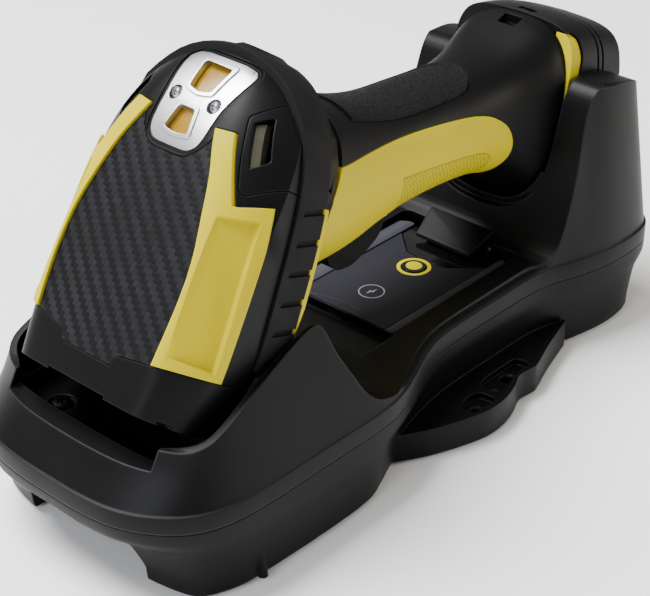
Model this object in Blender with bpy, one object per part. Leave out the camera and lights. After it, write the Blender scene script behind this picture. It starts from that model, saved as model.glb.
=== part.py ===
"""Handheld code scanner seated in its desktop charging cradle.

Units are metres inside Blender and millimetres in the named sizes below.
Frame: +X runs from the nose of the cradle to its tower, +Z is up, and the object is
symmetric about the plane Y = 0.  The origin is on the ground under the middle of the box.
"""
import math

import bmesh
import bpy
from mathutils import Matrix, Vector

MM = 0.001

# ---- driving dimensions of the cradle, mm -------------------------------------------------
GAP = 0.3                 # clearance kept between neighbouring solids
WALL = 2.4                # moulded wall of the cradle shells
SEAM_Z = 28.4             # top of the lower shell
BAND_Z = 34.7             # top of the rim band above the seam
BAND_STEP = 0.8           # the upper walls stand in by this much from the rim band
FLOOR_Z = 1.6             # underside of the lower shell; the rubber feet carry it
WAIST_Z = 36.0            # top face of the waist beside the label
LABEL_Z = 33.4            # top face of the label plate
POCKET_FLOOR_Z = 33.4     # floor of the nose pocket
LIP_Z = 44.6              # top of the low front lip
LIP_HALF = 31.0           # half width of the low front lip
POCKET_HALF = 47.0        # half width of the pocket at its floor
POCKET_TOP_HALF = 38.4    # and between the crests of its side walls
NOSE_LEAN = 0.32          # the walls beside the pocket lean inwards, per mm of height
HORN_Z = 97.0             # top of the tower horns
SADDLE_HALF = 28.6        # half width of the saddle between the horns
SADDLE_Z = 43.0           # floor of the saddle
TAB_PIVOT = (65.8, 35.0)  # x and z of the retaining tab's pin
EAR_Z = 12.0              # top face of the fastening ears
EAR_PAD_Z = 6.0           # floor of the recessed fastening pads

CENTRE_SHIFT = -1.5       # brings the middle of the whole box to X = 0

# plan outline of the rim, one side: (x, half width)
RIM = [(-127, 0), (-126.2, 13), (-123, 26), (-117.2, 37.2), (-109.6, 45.6), (-99, 50.4), (-86, 51.6),
       (-60, 51.6), (-36, 51.5), (-24, 49.6), (-13, 45.6), (-3, 41.2), (8, 38), (22, 37),
       (42, 36.9), (60, 37), (71, 38.8), (83, 42.6), (97, 45.4), (112, 45.4), (122, 42.6),
       (127.6, 35), (129.6, 20), (130, 0)]
# the same stations where the lower shell stands on the ground
BASE = [(-111, 0), (-111, 13), (-110, 26), (-106, 36), (-103, 42.6), (-95, 47.4), (-86, 49.2),
        (-60, 50.2), (-41, 49.6), (-31, 46.2), (-22, 42.4), (-8, 38.6), (8, 36), (22, 35.2),
        (42, 35.1), (60, 35.4), (71, 37.4), (83, 41.2), (97, 43.6), (108, 43.4), (116, 40.6),
        (120.4, 34), (121.8, 20), (122.2, 0)]

# ---- driving dimensions of the scanner, mm ------------------------------------------------
HEAD_TILT = 54.7          # the barrel points this far below the horizontal
HEAD_ORIGIN = (-71.1, 0.0, 123.6)   # on the crown of the head, at the tip of the metal plate
SKIN = 3.2                # thickness of the covers that clothe the head
BAND_PROUD = 0.8          # the rubber band stands this far out of the covers
BAND_REAR = 1.05          # and it is drawn out by this factor at the rear of the head
BAND_TOP = -18.2          # top edge of the rubber band at the crown origin
BAND_BOTTOM = -31.5       # lower edge of the rubber band there
BAND_SLOPE = -0.22        # the band falls away towards the nose
GUARD_BOTTOM = -10.2      # lower edge of the side guards at the crown origin
GUARD_SLOPE = -0.13
NOSE_U = 76.0             # front end of the nose bezel
TRIGGER_PIVOT = (10.4, 71.0)        # x and z of the trigger's pin
TRIGGER_PIN_R = 1.2

FLAT = math.radians(1.0)  # neighbouring faces closer than this are one flat face

COLOURS = {
    "black_abs": ((0.012, 0.012, 0.013), 0.55, 0.0),
    "black_soft": ((0.010, 0.010, 0.011), 0.8, 0.0),
    "yellow_pc": ((0.62, 0.52, 0.05), 0.45, 0.0),
    "twill": ((0.02, 0.02, 0.022), 0.35, 0.0),
    "metal": ((0.8, 0.8, 0.82), 0.3, 1.0),
    "amber": ((0.5, 0.25, 0.02), 0.2, 0.0),
    "lens": ((0.18, 0.17, 0.12), 0.15, 0.0),
    "label": ((0.045, 0.045, 0.05), 0.6, 0.0),
    "strip": ((0.13, 0.13, 0.15), 0.5, 0.0),
    "board": ((0.01, 0.12, 0.05), 0.6, 0.0),
    "copper": ((0.6, 0.25, 0.1), 0.35, 1.0),
    "ferrite": ((0.05, 0.05, 0.05), 0.8, 0.0),
    "glass": ((0.2, 0.22, 0.24), 0.05, 0.0),
    "steel": ((0.5, 0.5, 0.52), 0.35, 1.0),
    "cell": ((0.05, 0.12, 0.3), 0.5, 0.0),
}


# ---- small tools ---------------------------------------------------------------------------
def material(name):
    """The Principled material of one finish, made once."""
    found = bpy.data.materials.get(name)
    if found:
        return found
    colour, rough, metallic = COLOURS[name]
    made = bpy.data.materials.new(name)
    made.use_nodes = True
    shader = made.node_tree.nodes["Principled BSDF"]
    shader.inputs["Base Color"].default_value = (*colour, 1)
    shader.inputs["Roughness"].default_value = rough
    shader.inputs["Metallic"].default_value = metallic
    return made


def from_bmesh(bm, name="solid", finish=None):
    """An object made of a bmesh given in millimetres."""
    bmesh.ops.remove_doubles(bm, verts=bm.verts, dist=0.001)
    bmesh.ops.triangulate(bm, faces=bm.faces)
    bmesh.ops.recalc_face_normals(bm, faces=bm.faces)
    bmesh.ops.scale(bm, vec=(MM, MM, MM), verts=bm.verts)
    mesh = bpy.data.meshes.new(name)
    bm.to_mesh(mesh)
    bm.free()
    made = bpy.data.objects.new(name, mesh)
    bpy.context.scene.collection.objects.link(made)
    if finish:
        mesh.materials.append(material(finish))
    return made


def named(solid, name, finish, smooth=30):
    """Turns a working solid into a finished sub-part, with its flat areas merged."""
    bm = bmesh.new()
    bm.from_mesh(solid.data)
    bmesh.ops.dissolve_limit(bm, angle_limit=FLAT, verts=bm.verts, edges=bm.edges)
    bmesh.ops.dissolve_degenerate(bm, edges=bm.edges, dist=0.002 * MM)
    bmesh.ops.triangulate(bm, faces=bm.faces)
    if all(edge.is_manifold for edge in bm.edges):
        bm.to_mesh(solid.data)
    bm.free()
    solid.name = name
    solid.data.name = name
    solid.data.materials.clear()
    solid.data.materials.append(material(finish))
    solid.data.shade_smooth()
    solid.data.set_sharp_from_angle(angle=math.radians(smooth))
    return solid


def loft(rings, name="solid"):
    """A closed solid through rings of 3D points in mm, with flat ends."""
    bm = bmesh.new()
    loops = [[bm.verts.new(point) for point in ring] for ring in rings]
    for low, high in zip(loops, loops[1:]):
        for i in range(len(low)):
            j = (i + 1) % len(low)
            bm.faces.new((low[i], low[j], high[j], high[i]))
    bm.faces.new(loops[0])
    bm.faces.new(loops[-1])
    return from_bmesh(bm, name)


def box(x, y, z, bevel=0.0, name="solid"):
    """A block between pairs of coordinates, with its long edges rounded if asked."""
    bm = bmesh.new()
    bmesh.ops.create_cube(bm, size=1)
    size = [b - a for a, b in (x, y, z)]
    centre = [(a + b) / 2 for a, b in (x, y, z)]
    bmesh.ops.scale(bm, vec=size, verts=bm.verts)
    bmesh.ops.translate(bm, vec=centre, verts=bm.verts)
    if bevel:
        bmesh.ops.bevel(bm, geom=bm.edges[:], offset=bevel, offset_type="OFFSET", segments=2,
                        profile=0.5, affect="EDGES")
    return from_bmesh(bm, name)


def rod(start, end, radius, sides=24, end_radius=None, name="solid"):
    """A round bar between two points, tapered if an end radius is given."""
    start, end = Vector(start), Vector(end)
    along = end - start
    bm = bmesh.new()
    tip = radius if end_radius is None else end_radius
    bmesh.ops.create_cone(bm, cap_ends=True, segments=sides, radius1=radius, radius2=tip,
                          depth=along.length)
    turn = Vector((0, 0, 1)).rotation_difference(along.normalized()).to_matrix().to_4x4()
    bmesh.ops.transform(bm, matrix=Matrix.Translation((start + end) / 2) @ turn, verts=bm.verts)
    return from_bmesh(bm, name)


def prism(outline, low, high, place, name="solid"):
    """A straight solid: a flat outline swept from low to high by place(a, b, level)."""
    return loft([[place(a, b, low) for a, b in outline],
                 [place(a, b, high) for a, b in outline]], name)


def side_view(x, z, level):
    return (x, level, z)


def plan_view(x, y, level):
    return (x, y, level)


def combine(solid, others, operation="DIFFERENCE"):
    """Runs Boolean modifiers on a solid and keeps the result as its mesh."""
    for other in others:
        step = solid.modifiers.new("cut", "BOOLEAN")
        step.operation = operation
        step.object = other
        step.solver = "EXACT"
    graph = bpy.context.evaluated_depsgraph_get()
    result = bpy.data.meshes.new_from_object(solid.evaluated_get(graph), depsgraph=graph)
    solid.modifiers.clear()
    solid.data = result
    for other in others:
        bpy.data.objects.remove(other)
    return solid


def cut(solid, *others):
    return combine(solid, others, "DIFFERENCE")


def join(solid, *others):
    return combine(solid, others, "UNION")


def keep(solid, *others):
    return combine(solid, others, "INTERSECT")


def copy_of(solid):
    made = bpy.data.objects.new(solid.name + "_copy", solid.data.copy())
    bpy.context.scene.collection.objects.link(made)
    return made


def curve_points(points, steps):
    """A smooth run through the points (Catmull-Rom), with so many steps between two of them."""
    ends = [points[0]] + list(points) + [points[-1]]
    run = []
    for a, b, c, d in zip(ends, ends[1:], ends[2:], ends[3:]):
        for k in range(steps):
            t = k / steps
            run.append(tuple(0.5 * (2 * q + (r - p) * t + (2 * p - 5 * q + 4 * r - s) * t * t
                                    + (3 * q - p - 3 * r + s) * t ** 3)
                             for p, q, r, s in zip(a, b, c, d)))
    run.append(tuple(points[-1]))
    return run


def between(table, x):
    """Straight interpolation in a table of (x, value) pairs."""
    if x <= table[0][0]:
        return table[0][1]
    for (x0, v0), (x1, v1) in zip(table, table[1:]):
        if x <= x1:
            return v0 + (v1 - v0) * (x - x0) / (x1 - x0)
    return table[-1][1]


def shrunk(outline, amount):
    """A closed outline with every side moved in by amount (out, if it is negative)."""
    if not amount:
        return list(outline)
    area = sum(x0 * y1 - x1 * y0 for (x0, y0), (x1, y1)
               in zip(outline, outline[1:] + outline[:1]))
    turn = math.copysign(1, area)
    moved = []
    for i, here in enumerate(outline):
        before, after = Vector(outline[i - 1]), Vector(outline[(i + 1) % len(outline)])
        here = Vector(here)
        a, b = (here - before).normalized(), (after - here).normalized()
        normal_a, normal_b = Vector((-a.y, a.x)) * turn, Vector((-b.y, b.x)) * turn
        reach = (normal_a + normal_b) / max(1 + normal_a.dot(normal_b), 0.35)
        moved.append(tuple(here + reach * amount))
    return moved


# ---- cradle --------------------------------------------------------------------------------
def full_outline(half, shrink=0.0, steps=1):
    """The closed plan outline from one side's stations, moved in by shrink."""
    side = curve_points(half, steps)
    ring = [(x, -y) for x, y in side] + [(x, y) for x, y in reversed(side[1:-1])]
    return shrunk(ring, shrink)


def tower_taper(x, z):
    """How far the tower's walls lean inwards at a height, in mm."""
    share = min(max((x - 66) / 18, 0), 1)
    return share * (z - BAND_Z) * 0.155


def nose_taper(x, z):
    """How far the walls beside the nose pocket lean inwards at a height, in mm."""
    share = min(max((-x - 20) / 20, 0), 1)
    return share * min(max(z - BAND_Z, 0), 40) * NOSE_LEAN


def cradle_top(shrink, low):
    """The outer form of the upper shell, moved in by shrink, from the level low upwards."""
    levels = [low, BAND_Z - shrink, BAND_Z - shrink + 0.01, 41, 48, 60, 72, HORN_Z + 3]
    rings = []
    for k, z in enumerate(levels):
        step = BAND_STEP if k >= 2 else 0.0
        ring = []
        for x, y in full_outline(RIM, shrink + step):
            lean = tower_taper(x, max(z, BAND_Z)) if k >= 2 else 0.0
            nose = nose_taper(x, z) if k >= 2 else 0.0
            width = abs(y) - lean - nose
            across = math.copysign(max(width, 0.02 * abs(y)), y)
            back = 0.12 * max(z - BAND_Z, 0) * min(max((x - 90) / 37, 0), 1) if k >= 2 else 0.0
            fore = min(0.9 * max(z - BAND_Z, 0), 12) * min(max((-x - 100) / 27, 0), 1) if k >= 2 else 0.0
            ring.append((x - back + fore, across, z))
        rings.append(ring)
    body = loft(rings)
    d = shrink
    skyline = [(-140, low - 5), (-140, 48 - d), (-106.3, 51 - d), (-85, 59.8 - d),
               (-70, 65.4 - d), (-60, 68.6 - d), (-54 - d, 69 - d), (-51.5 - d, 67.6 - d),
               (-48.6 - d, 58 - d), (-44.4 - d, 50 - d), (-41 - d, 43 - d), (-36 - d, 38.4 - d),
               (-28 - d, WAIST_Z - d), (66, WAIST_Z + 1 - d), (70, 39 - d),
               (74 + d, 45 - d), (80 + d, 68 - d), (84 + d, 86 - d), (87 + d, 93 - d),
               (92, HORN_Z - d), (103, HORN_Z - d), (110 - d, 94 - d), (114 - d, 89 - d),
               (140, 84 - d), (140, low - 5)]
    return keep(body, prism(skyline, -70, 70, side_view))


def pocket(grow):
    """The free space of the nose pocket, grown by grow for the inner face of the wall."""
    floor = POCKET_FLOOR_Z - grow
    rings = []
    for z, half in ((floor, POCKET_HALF), (50, POCKET_HALF - 4.6), (68, POCKET_TOP_HALF),
                    (120, POCKET_TOP_HALF)):
        h = half + grow
        side = [(-115 - grow, -24), (-111 - grow, -h + 9), (-105, -h + 2), (-98, -h),
                (-44 + grow, -h), (-34 + grow, -h + 6), (-28 + grow, -20)]
        rings.append([(x, y, z) for x, y in side] + [(x, -y, z) for x, y in reversed(side)])
    space = loft(rings)
    lip = LIP_HALF + grow
    front = box((-150, -100), (-lip, lip), (LIP_Z - grow, 120))
    return join(space, front)


def saddle(grow):
    """The groove that takes the scanner's foot, open to the front and above."""
    h = SADDLE_HALF + grow
    floor = SADDLE_Z - grow
    outline = [(-h, 130), (-h, 74), (-h + 3, 62), (-h + 9, 52), (-h + 17, floor + 1),
               (-8, floor), (8, floor), (h - 17, floor + 1), (h - 9, 52), (h - 3, 62),
               (h, 74), (h, 130)]
    return prism(outline, 60, 123.4 + grow, lambda y, z, x: (x, y, z))


def upper_shell():
    outer = cut(cradle_top(0, SEAM_Z + GAP), pocket(0), saddle(0))
    inner = cut(cradle_top(WALL, SEAM_Z - 6), pocket(WALL), saddle(WALL))
    shell = cut(outer, inner)
    seat = [(-2, -25.4), (66.4, -25.4), (66.4, 25.4), (-2, 25.4)]
    shell = cut(shell, prism(seat, LABEL_Z - 1.6, 60, plan_view))
    for y in (-27, 27):
        shell = cut(shell, rod((-98, y, 20), (-98, y, 60), 2.1, 16))
        shell = cut(shell, rod((-98, y, POCKET_FLOOR_Z - 1), (-98, y, 60), 4.4, 20))
    shell = cut(shell, rod((40.2, 0, 20), (40.2, 0, 60), 6.1, 20))
    flap = [(-14.6, 55.2), (14.6, 55.2), (14.6, 68), (-14.6, 68)]
    shell = cut(shell, prism([(x, y) for y, x in flap], 20, 41, lambda a, b, z: (a, b, z)))
    return named(shell, "cradle_upper_shell", "black_abs")


def lower_shell():
    def form(shrink, low, high):
        top = full_outline(RIM, shrink)
        base = full_outline(BASE, shrink)
        rings = []
        stages = [(low, 0.0), (7, 0.08), (16, 0.34), (20, 0.6), (23.5, 0.93), (high, 1.0)]
        for z, share in stages:
            rings.append([(bx + (tx - bx) * share, by + (ty - by) * share, z)
                          for (bx, by), (tx, ty) in zip(base, top)])
        return loft(rings)
    shell = form(0, FLOOR_Z, SEAM_Z)
    ear = curve_points([(-22, 40), (-8, 48.4), (10, 54.8), (21, 55.4), (30, 53.2), (37, 50.4),
                        (44, 51), (47.4, 50.4), (60, 46), (76, 41.4)], 3)
    outline = [(x, -y) for x, y in ear] + [(76, -30), (-22, -30)]
    for side in (-1, 1):
        ring = [(x, -side * y) for x, y in outline]
        plate = prism(ring, FLOOR_Z, EAR_Z, plan_view)
        pad = [(6, -side * -44.6), (30, -side * -41.5), (50, -side * -41.5), (50, -side * -60),
               (6, -side * -60)]
        well = prism([(x, y) for x, y in pad], EAR_PAD_Z, 40, plan_view)
        holes = [rod((x, side * y, -5), (x, side * y, 40), r, 20)
                 for x, y, r in ((36, 46, 2.4), (26, 47.6, 1.5), (14, 49.4, 1.5))]
        shell = join(shell, cut(plate, well, *holes))
    inner = form(WALL, FLOOR_Z + WALL, SEAM_Z + 5)
    shell = cut(shell, inner)
    tunnel = [(-25, -5), (-25, 12), (-21, 18), (-12, 20.6), (12, 20.6), (21, 18), (25, 12), (25, -5)]
    shell = cut(shell, prism(tunnel, -140, -95, lambda y, z, x: (x, y, z)))
    back = box((-95.3, -93), (-27, 27), (FLOOR_Z + 0.5, 23))
    shell = join(shell, back)
    socket = box((-100, -88), (-6.3, 6.3), (7.7, 16.3))
    return named(cut(shell, socket), "cradle_lower_shell", "black_abs")


# ---- head frame ----------------------------------------------------------------------------
def head_matrix():
    """Head coordinates (u to the nose, v to the side, w out of the crown) to the world."""
    t = math.radians(HEAD_TILT)
    u = Vector((-math.cos(t), 0, -math.sin(t)))
    v = Vector((0, -1, 0))
    w = u.cross(v)
    turn = Matrix((u, v, w)).transposed().to_4x4()
    return Matrix.Translation(Vector(HEAD_ORIGIN) * MM) @ turn


def seated(solid):
    """Moves a solid made in head coordinates to its place."""
    solid.data.transform(head_matrix())
    return solid


HEAD_HALF = [(-31, 6), (-30, 13), (-27, 20), (-22, 26), (-14, 31.4), (-4, 34.6), (8, 36.3),
             (30, 36.8), (56, 36.4), (66, 35.4), (76, 34)]
CROWN = [(-31, -16), (-30, -12.6), (-28, -10.4), (-24.6, -7.8), (-20, -5.2), (-16, -3.5),
         (-12.4, -2.2), (-6, -0.8), (0, 0), (20, 0.6), (45, 0.2), (60, -0.6), (76, -1.8)]
SHOULDER_IN = [(-31, 3), (-27, 11), (-20, 15), (-8, 18), (4, 21), (25, 25), (45, 25.4),
               (62, 25), (76, 24)]
SHOULDER_DROP = [(-31, 6), (-22, 10), (-10, 12), (10, 12.4), (60, 12.4), (76, 12)]
UNDER = [(-31, -40), (-28, -46), (-20, -50), (0, -51), (60, -47), (76, -44)]


def head_ring(u, inset):
    """A cross-section of the head at u, moved in by inset."""
    half = between(HEAD_HALF, u) - inset
    crown = between(CROWN, u) - inset
    shoulder = min(between(SHOULDER_IN, u) - 0.45 * inset, half - 1)
    drop = between(SHOULDER_DROP, u) - 0.4 * inset
    under = between(UNDER, u) + inset
    side = [(0, crown), (shoulder * 0.6, crown - 0.35), (shoulder, crown - 1.3),
            ((shoulder * 0.6 + half * 0.4), crown - 1.3 - drop * 0.24),
            ((shoulder * 0.25 + half * 0.75), crown - 1.3 - drop * 0.62),
            (half, crown - 1.3 - drop), (half, under + 9), (max(half - 2.6, 0.8 * half), under + 3),
            (max(half - 8, 0.5 * half), under), (0, under)]
    ring = [(u, v, w) for v, w in side]
    ring += [(u, -v, w) for v, w in reversed(side[1:-1])]
    return ring


HEAD_STATIONS = [-31, -29.5, -27, -23, -18, -12, -6, 0, 10, 25, 40, 54, 66, 76]


def head_form(inset, first=None, last=None, rear=1.0):
    """The head's outer form moved in by inset, between two stations of the barrel.

    A rear above 1 draws out the end that faces the user."""
    low = HEAD_STATIONS[0] + inset if first is None else first
    high = HEAD_STATIONS[-1] if last is None else last
    middle = [u for u in HEAD_STATIONS if low + 0.8 < u < high - 0.8]
    rings = []
    for u in [low] + middle + [high]:
        squeeze = min(u - inset * 0.35, HEAD_STATIONS[-1]) if u < 0 else u
        ring = head_ring(max(squeeze, HEAD_STATIONS[0]), inset)
        rings.append([(u * rear if u < 0 else u, v, w) for _, v, w in ring])
    return loft(rings)


def over_head(outline, low=-70, high=20, shear=0.0):
    """A prism through the head along w, from an outline in (u, v)."""
    return prism(outline, low, high, lambda u, v, w: (u + shear * (w + 8), v, w))


def clothing(region, outer=0.0, inner=SKIN, rear=1.0):
    """The layer of the head between two insets, inside a region."""
    piece = keep(head_form(outer, HEAD_STATIONS[0] + outer, rear=rear), region)
    return cut(piece, head_form(inner, HEAD_STATIONS[0] + inner, NOSE_U + 5))


SIDES = ((1, "left"), (-1, "right"))      # head coordinates: the left side is towards -Y
GUARD_IN = [(-7.2, 13), (-1, 15.6), (6, 18.6), (16.5, 21.6), (30, 24.6), (45, 25.2), (64, 24)]
NOSE_EDGE = [(66.4, 0), (66.4, 10.4), (63, 11.6), (61.2, 22.6), (58.6, 40)]


def nose_side(extra, forward):
    """The line where the nose bezel begins, as an outline in (u, v) reaching to one end."""
    edge = [(u + extra, -v) for u, v in reversed(NOSE_EDGE[1:])] + [(NOSE_EDGE[0][0] + extra, 0)]
    edge += [(u + extra, v) for u, v in NOSE_EDGE[1:]]
    far = 100 if forward else -60
    return edge + [(far, 60), (far, -60)]


def crown_plane(level, slope, side):
    """Everything above or below a sloping level of the head, as a prism through it."""
    far = 64 if side > 0 else -94
    outline = [(-72, level + slope * -72), (120, level + slope * 120), (120, far), (-72, far)]
    return prism(outline, -66, 66, lambda u, w, v: (u, v, w))


def guard_outline(side):
    """The L-shaped side guard seen from the crown."""
    outer = [(64, 60), (5.2, 60), (7, 36), (10.6, 29.4), (11, 28), (-8, 19.6)]
    return [(u, side * v) for u, v in GUARD_IN + outer]


def plate_outline(grow):
    """The metal plate: a long six-sided shape, wide at the rear."""
    half = [(-27, 7.6), (-26.4, 11.4), (-24.6, 13.2), (-21.6, 13), (-12, 11), (-3, 10.3),
            (0, 9.4), (1.8, 7.4), (2.3, 5)]
    return shrunk([(u, -v) for u, v in half] + [(u, v) for u, v in reversed(half)], -grow)


def head_covers():
    """The pieces that clothe the head above the band, each cut from the same skin."""
    g = GAP / 2
    top = clothing(keep(over_head(nose_side(-g, False)), crown_plane(BAND_TOP + g, BAND_SLOPE, 1)))

    half = [(4.4, 0), (4.2, 5.2), (2.8, 8.6), (-1.0, 12.2), (-4.6, 13.6)]
    half += [(u, v) for u, v in GUARD_IN[1:]] + [(72, 23.6)]
    cover = [(u, -v) for u, v in reversed(half)] + half[1:]
    top_cover = keep(copy_of(top), over_head(shrunk(cover, g), -16, 20))
    named(seated(top_cover), "top_cover", "twill")
    frame = cut(copy_of(top), over_head(shrunk(cover, -g), -16, 20))

    for side, name in SIDES:
        outline = guard_outline(side)
        guard = keep(copy_of(top), over_head(shrunk(outline, g), -40, 20),
                     crown_plane(GUARD_BOTTOM + g, GUARD_SLOPE, 1))
        named(seated(guard), f"side_guard_{name}", "yellow_pc")
        hole = keep(over_head(shrunk(outline, -g), -40, 20),
                    crown_plane(GUARD_BOTTOM - g, GUARD_SLOPE, 1))
        frame = cut(frame, hole)

    for side, name in SIDES:
        panel = [(-12.4, 19.8), (-22.4, 26.6), (-21, 60), (0.4, 60), (1.2, 35.6), (7.4, 28.6),
                 (6.6, 26.8)]
        panel = [(u, side * v) for u, v in panel]
        slot = [(u, side * v) for u, v in ((-11, 21.4), (-14.6, 24.6), (-4, 29), (-0.6, 25.4))]
        lens = [(u, side * v) for u, v in ((-10.6, 21.7), (-12.6, 23.4), (-2.6, 27.4), (-1, 25.4))]
        above_seam = crown_plane(BAND_TOP + GAP * 2, BAND_SLOPE, 1)
        piece = keep(copy_of(top), over_head(shrunk(panel, g), -40, 20), above_seam)
        piece = cut(piece, over_head(slot, -40, 20))
        named(seated(piece), f"side_cover_{name}", "black_abs")
        hole = keep(over_head(shrunk(panel, -g), -40, 20),
                    crown_plane(BAND_TOP + GAP, BAND_SLOPE, 1))
        frame = cut(frame, hole)
        light = clothing(over_head(shrunk(lens, g), -40, 20), 1.6, 2.8)
        named(seated(light), f"side_lens_{name}", "lens")
    frame = cut(frame, over_head(plate_outline(GAP), -16, 20))
    named(seated(frame), "head_frame", "black_abs")
    bpy.data.objects.remove(top)

    strip = [(u, level + BAND_SLOPE * u) for level, ends in
             ((BAND_TOP - g, (-72, 120)), (BAND_BOTTOM + g, (120, -72))) for u in ends]
    strip = prism(strip, -66, 66, lambda u, w, v: (u, v, w))
    band = clothing(keep(strip, over_head(nose_side(-g - 6, False), -42)), -BAND_PROUD,
                    rear=BAND_REAR)
    named(seated(band), "rubber_band", "black_soft")
    bezel = keep(head_form(0), over_head(nose_side(g, True)))
    bezel = cut(bezel, head_form(SKIN, 40, NOSE_U - SKIN),
                box((NOSE_U - 8, NOSE_U + 10), (-25, 25), (-39, -11)),
                box((NOSE_U - 8, NOSE_U - 1.6), (-26.6, 26.6), (-40.6, -9.4)))
    named(seated(bezel), "nose_bezel", "black_abs")


def metal_plate():
    """The bright plate on the crown with its two windows, screws and light guide."""
    above_band = crown_plane(BAND_TOP + 2 * GAP, BAND_SLOPE, 1)
    plate = clothing(keep(over_head(plate_outline(0), -16, 20), copy_of(above_band)), 0.2, 1.7)
    windows = [[(-23.4, 3.6), (-23.6, -3.6), (-16.4, -2.8), (-15.6, 0), (-16.4, 2.8)],
               [(-6.6, 2.6), (-6.6, -2.6), (-1.2, -3.6), (-0.8, 0), (-1.2, 3.6)]]
    plate = cut(plate, *[over_head(window, -16, 20) for window in windows])
    screws = [(-12.4, 7.8), (-12.4, -7.8)]
    plate = cut(plate, *[over_head(circle(u, v, 2.2), -16, 20) for u, v in screws])
    named(seated(plate), "rear_plate", "metal")
    for (u, v), (_, name) in zip(screws, SIDES):
        w = between(CROWN, u) - 0.9
        head = rod((u, v, w - 6), (u, v, w - 1.2), 1.1, 16)
        dome = rod((u, v, w - 1.3), (u, v, w + 0.4), 1.85, 20, 1.2)
        named(seated(join(head, dome)), f"plate_screw_{name}", "steel")
    guide = clothing(keep(over_head(plate_outline(-1.2), -16, 20), above_band), 2.1, 4.6)
    guide = cut(guide, *[over_head(circle(u, v, 2.2), -16, 20) for u, v in screws])
    named(seated(guide), "indicator_light_guide", "amber")


def circle(a, b, radius, sides=20):
    return [(a + radius * math.cos(math.tau * k / sides), b + radius * math.sin(math.tau * k / sides))
            for k in range(sides)]


def head_inside():
    """The chassis, the scan window and what sees through it."""
    tub = head_form(SKIN + GAP, HEAD_STATIONS[0] + SKIN + GAP, NOSE_U - SKIN - GAP)
    tub = cut(tub, head_form(SKIN + 2.4, HEAD_STATIONS[0] + SKIN + 2.4, NOSE_U + 5))
    tub = cut(tub, over_head(plate_outline(2.2), -16, 20))
    for side, _ in SIDES:
        spot = [(u, side * v) for u, v in ((-13, 20), (-16, 25), (-3, 31), (1, 26))]
        tub = cut(tub, over_head(spot, -40, 20))
    named(seated(tub), "head_chassis", "black_abs")
    window = box((NOSE_U - 3.1, NOSE_U - 1.9), (-26.3, 26.3), (-40.3, -9.7))
    named(seated(window), "scan_window", "glass")
    camera = join(box((36, 52), (-12, 12), (-36, -14)), rod((50, 0, -24), (58, 0, -24), 6, 24))
    named(seated(camera), "imager_module", "black_abs")
    named(seated(rod((58.4, 0, -24), (60.4, 0, -24), 4.2, 24)), "imager_lens", "glass")
    board = box((33.6, 35.4), (-24, 24), (-40, -8))
    named(seated(board), "sensor_board", "board")
    ring = cut(box((61.2, 62.8), (-20, 20), (-40, -9)), rod((60, 0, -24), (66, 0, -24), 6.4, 24))
    named(seated(ring), "illumination_board", "board")
    for k, (v, w) in enumerate(((-13, -16), (13, -16), (-13, -32), (13, -32))):
        lamp = rod((63.1, v, w), (66.4, v, w), 3, 20, 2.2)
        named(seated(lamp), f"illumination_led_{k + 1}", "lens")
    named(seated(box((-12, 31), (-20, 20), (-42.6, -41))), "main_board", "board")
    named(seated(rod((-4, 0, -40.6), (-4, 0, -36.2), 5, 24)), "beeper", "black_abs")
    named(seated(rod((12, -5.5, -37.4), (12, 5.5, -37.4), 3, 20)), "vibration_motor", "steel")


# ---- handle --------------------------------------------------------------------------------
# (x, centre z, half width, half height) of the handle, from the head to the foot
HANDLE = [(-34, 92, 24, 27), (-20, 91, 23, 26.5), (-8, 89.5, 21, 25), (4, 88.4, 19.6, 22),
          (18, 87.4, 18.8, 19.4), (36, 86.4, 18.6, 18.6), (52, 85, 18.8, 18.8),
          (62, 84, 19.8, 21), (70, 82.6, 21.6, 25), (78, 80.6, 23.6, 29.6), (84, 79.4, 24.6, 32.6),
          (87, 79, 24.8, 33.4)]
GRIP_WALL = 3.0
GRIP_SPLIT = [(-40, 106), (-24, 103.2), (9, 99.7), (40, 95.6), (57, 91.2), (64, 86), (67, 80)]


def handle_ring(x, shrink, sides=28):
    row = [between([(h[0], h[k]) for h in HANDLE], x) for k in (1, 2, 3)]
    centre, wide, high = row[0], row[1] - shrink, row[2] - shrink
    ring = []
    for k in range(sides):
        turn = math.tau * (k + 0.5) / sides
        c, s = math.cos(turn), math.sin(turn)
        power = 0.86
        ring.append((x, wide * math.copysign(abs(c) ** power, c),
                     centre + high * math.copysign(abs(s) ** power, s)))
    return ring


def handle_form(shrink, first=-34, last=87):
    stations = [first] + [h[0] for h in HANDLE if first + 1 < h[0] < last - 1] + [last]
    return loft([handle_ring(x, shrink) for x in stations])


def across(point, reach, radius):
    """A round bar along Y through a point (x, z), reaching the same way to both sides."""
    x, z = point
    return rod((x, -reach, z), (x, reach, z), radius, 16)


def head_space(grow):
    """The room the head takes, grown by a clearance."""
    return seated(head_form(-grow, HEAD_STATIONS[0] - grow, NOSE_U + grow))


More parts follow.
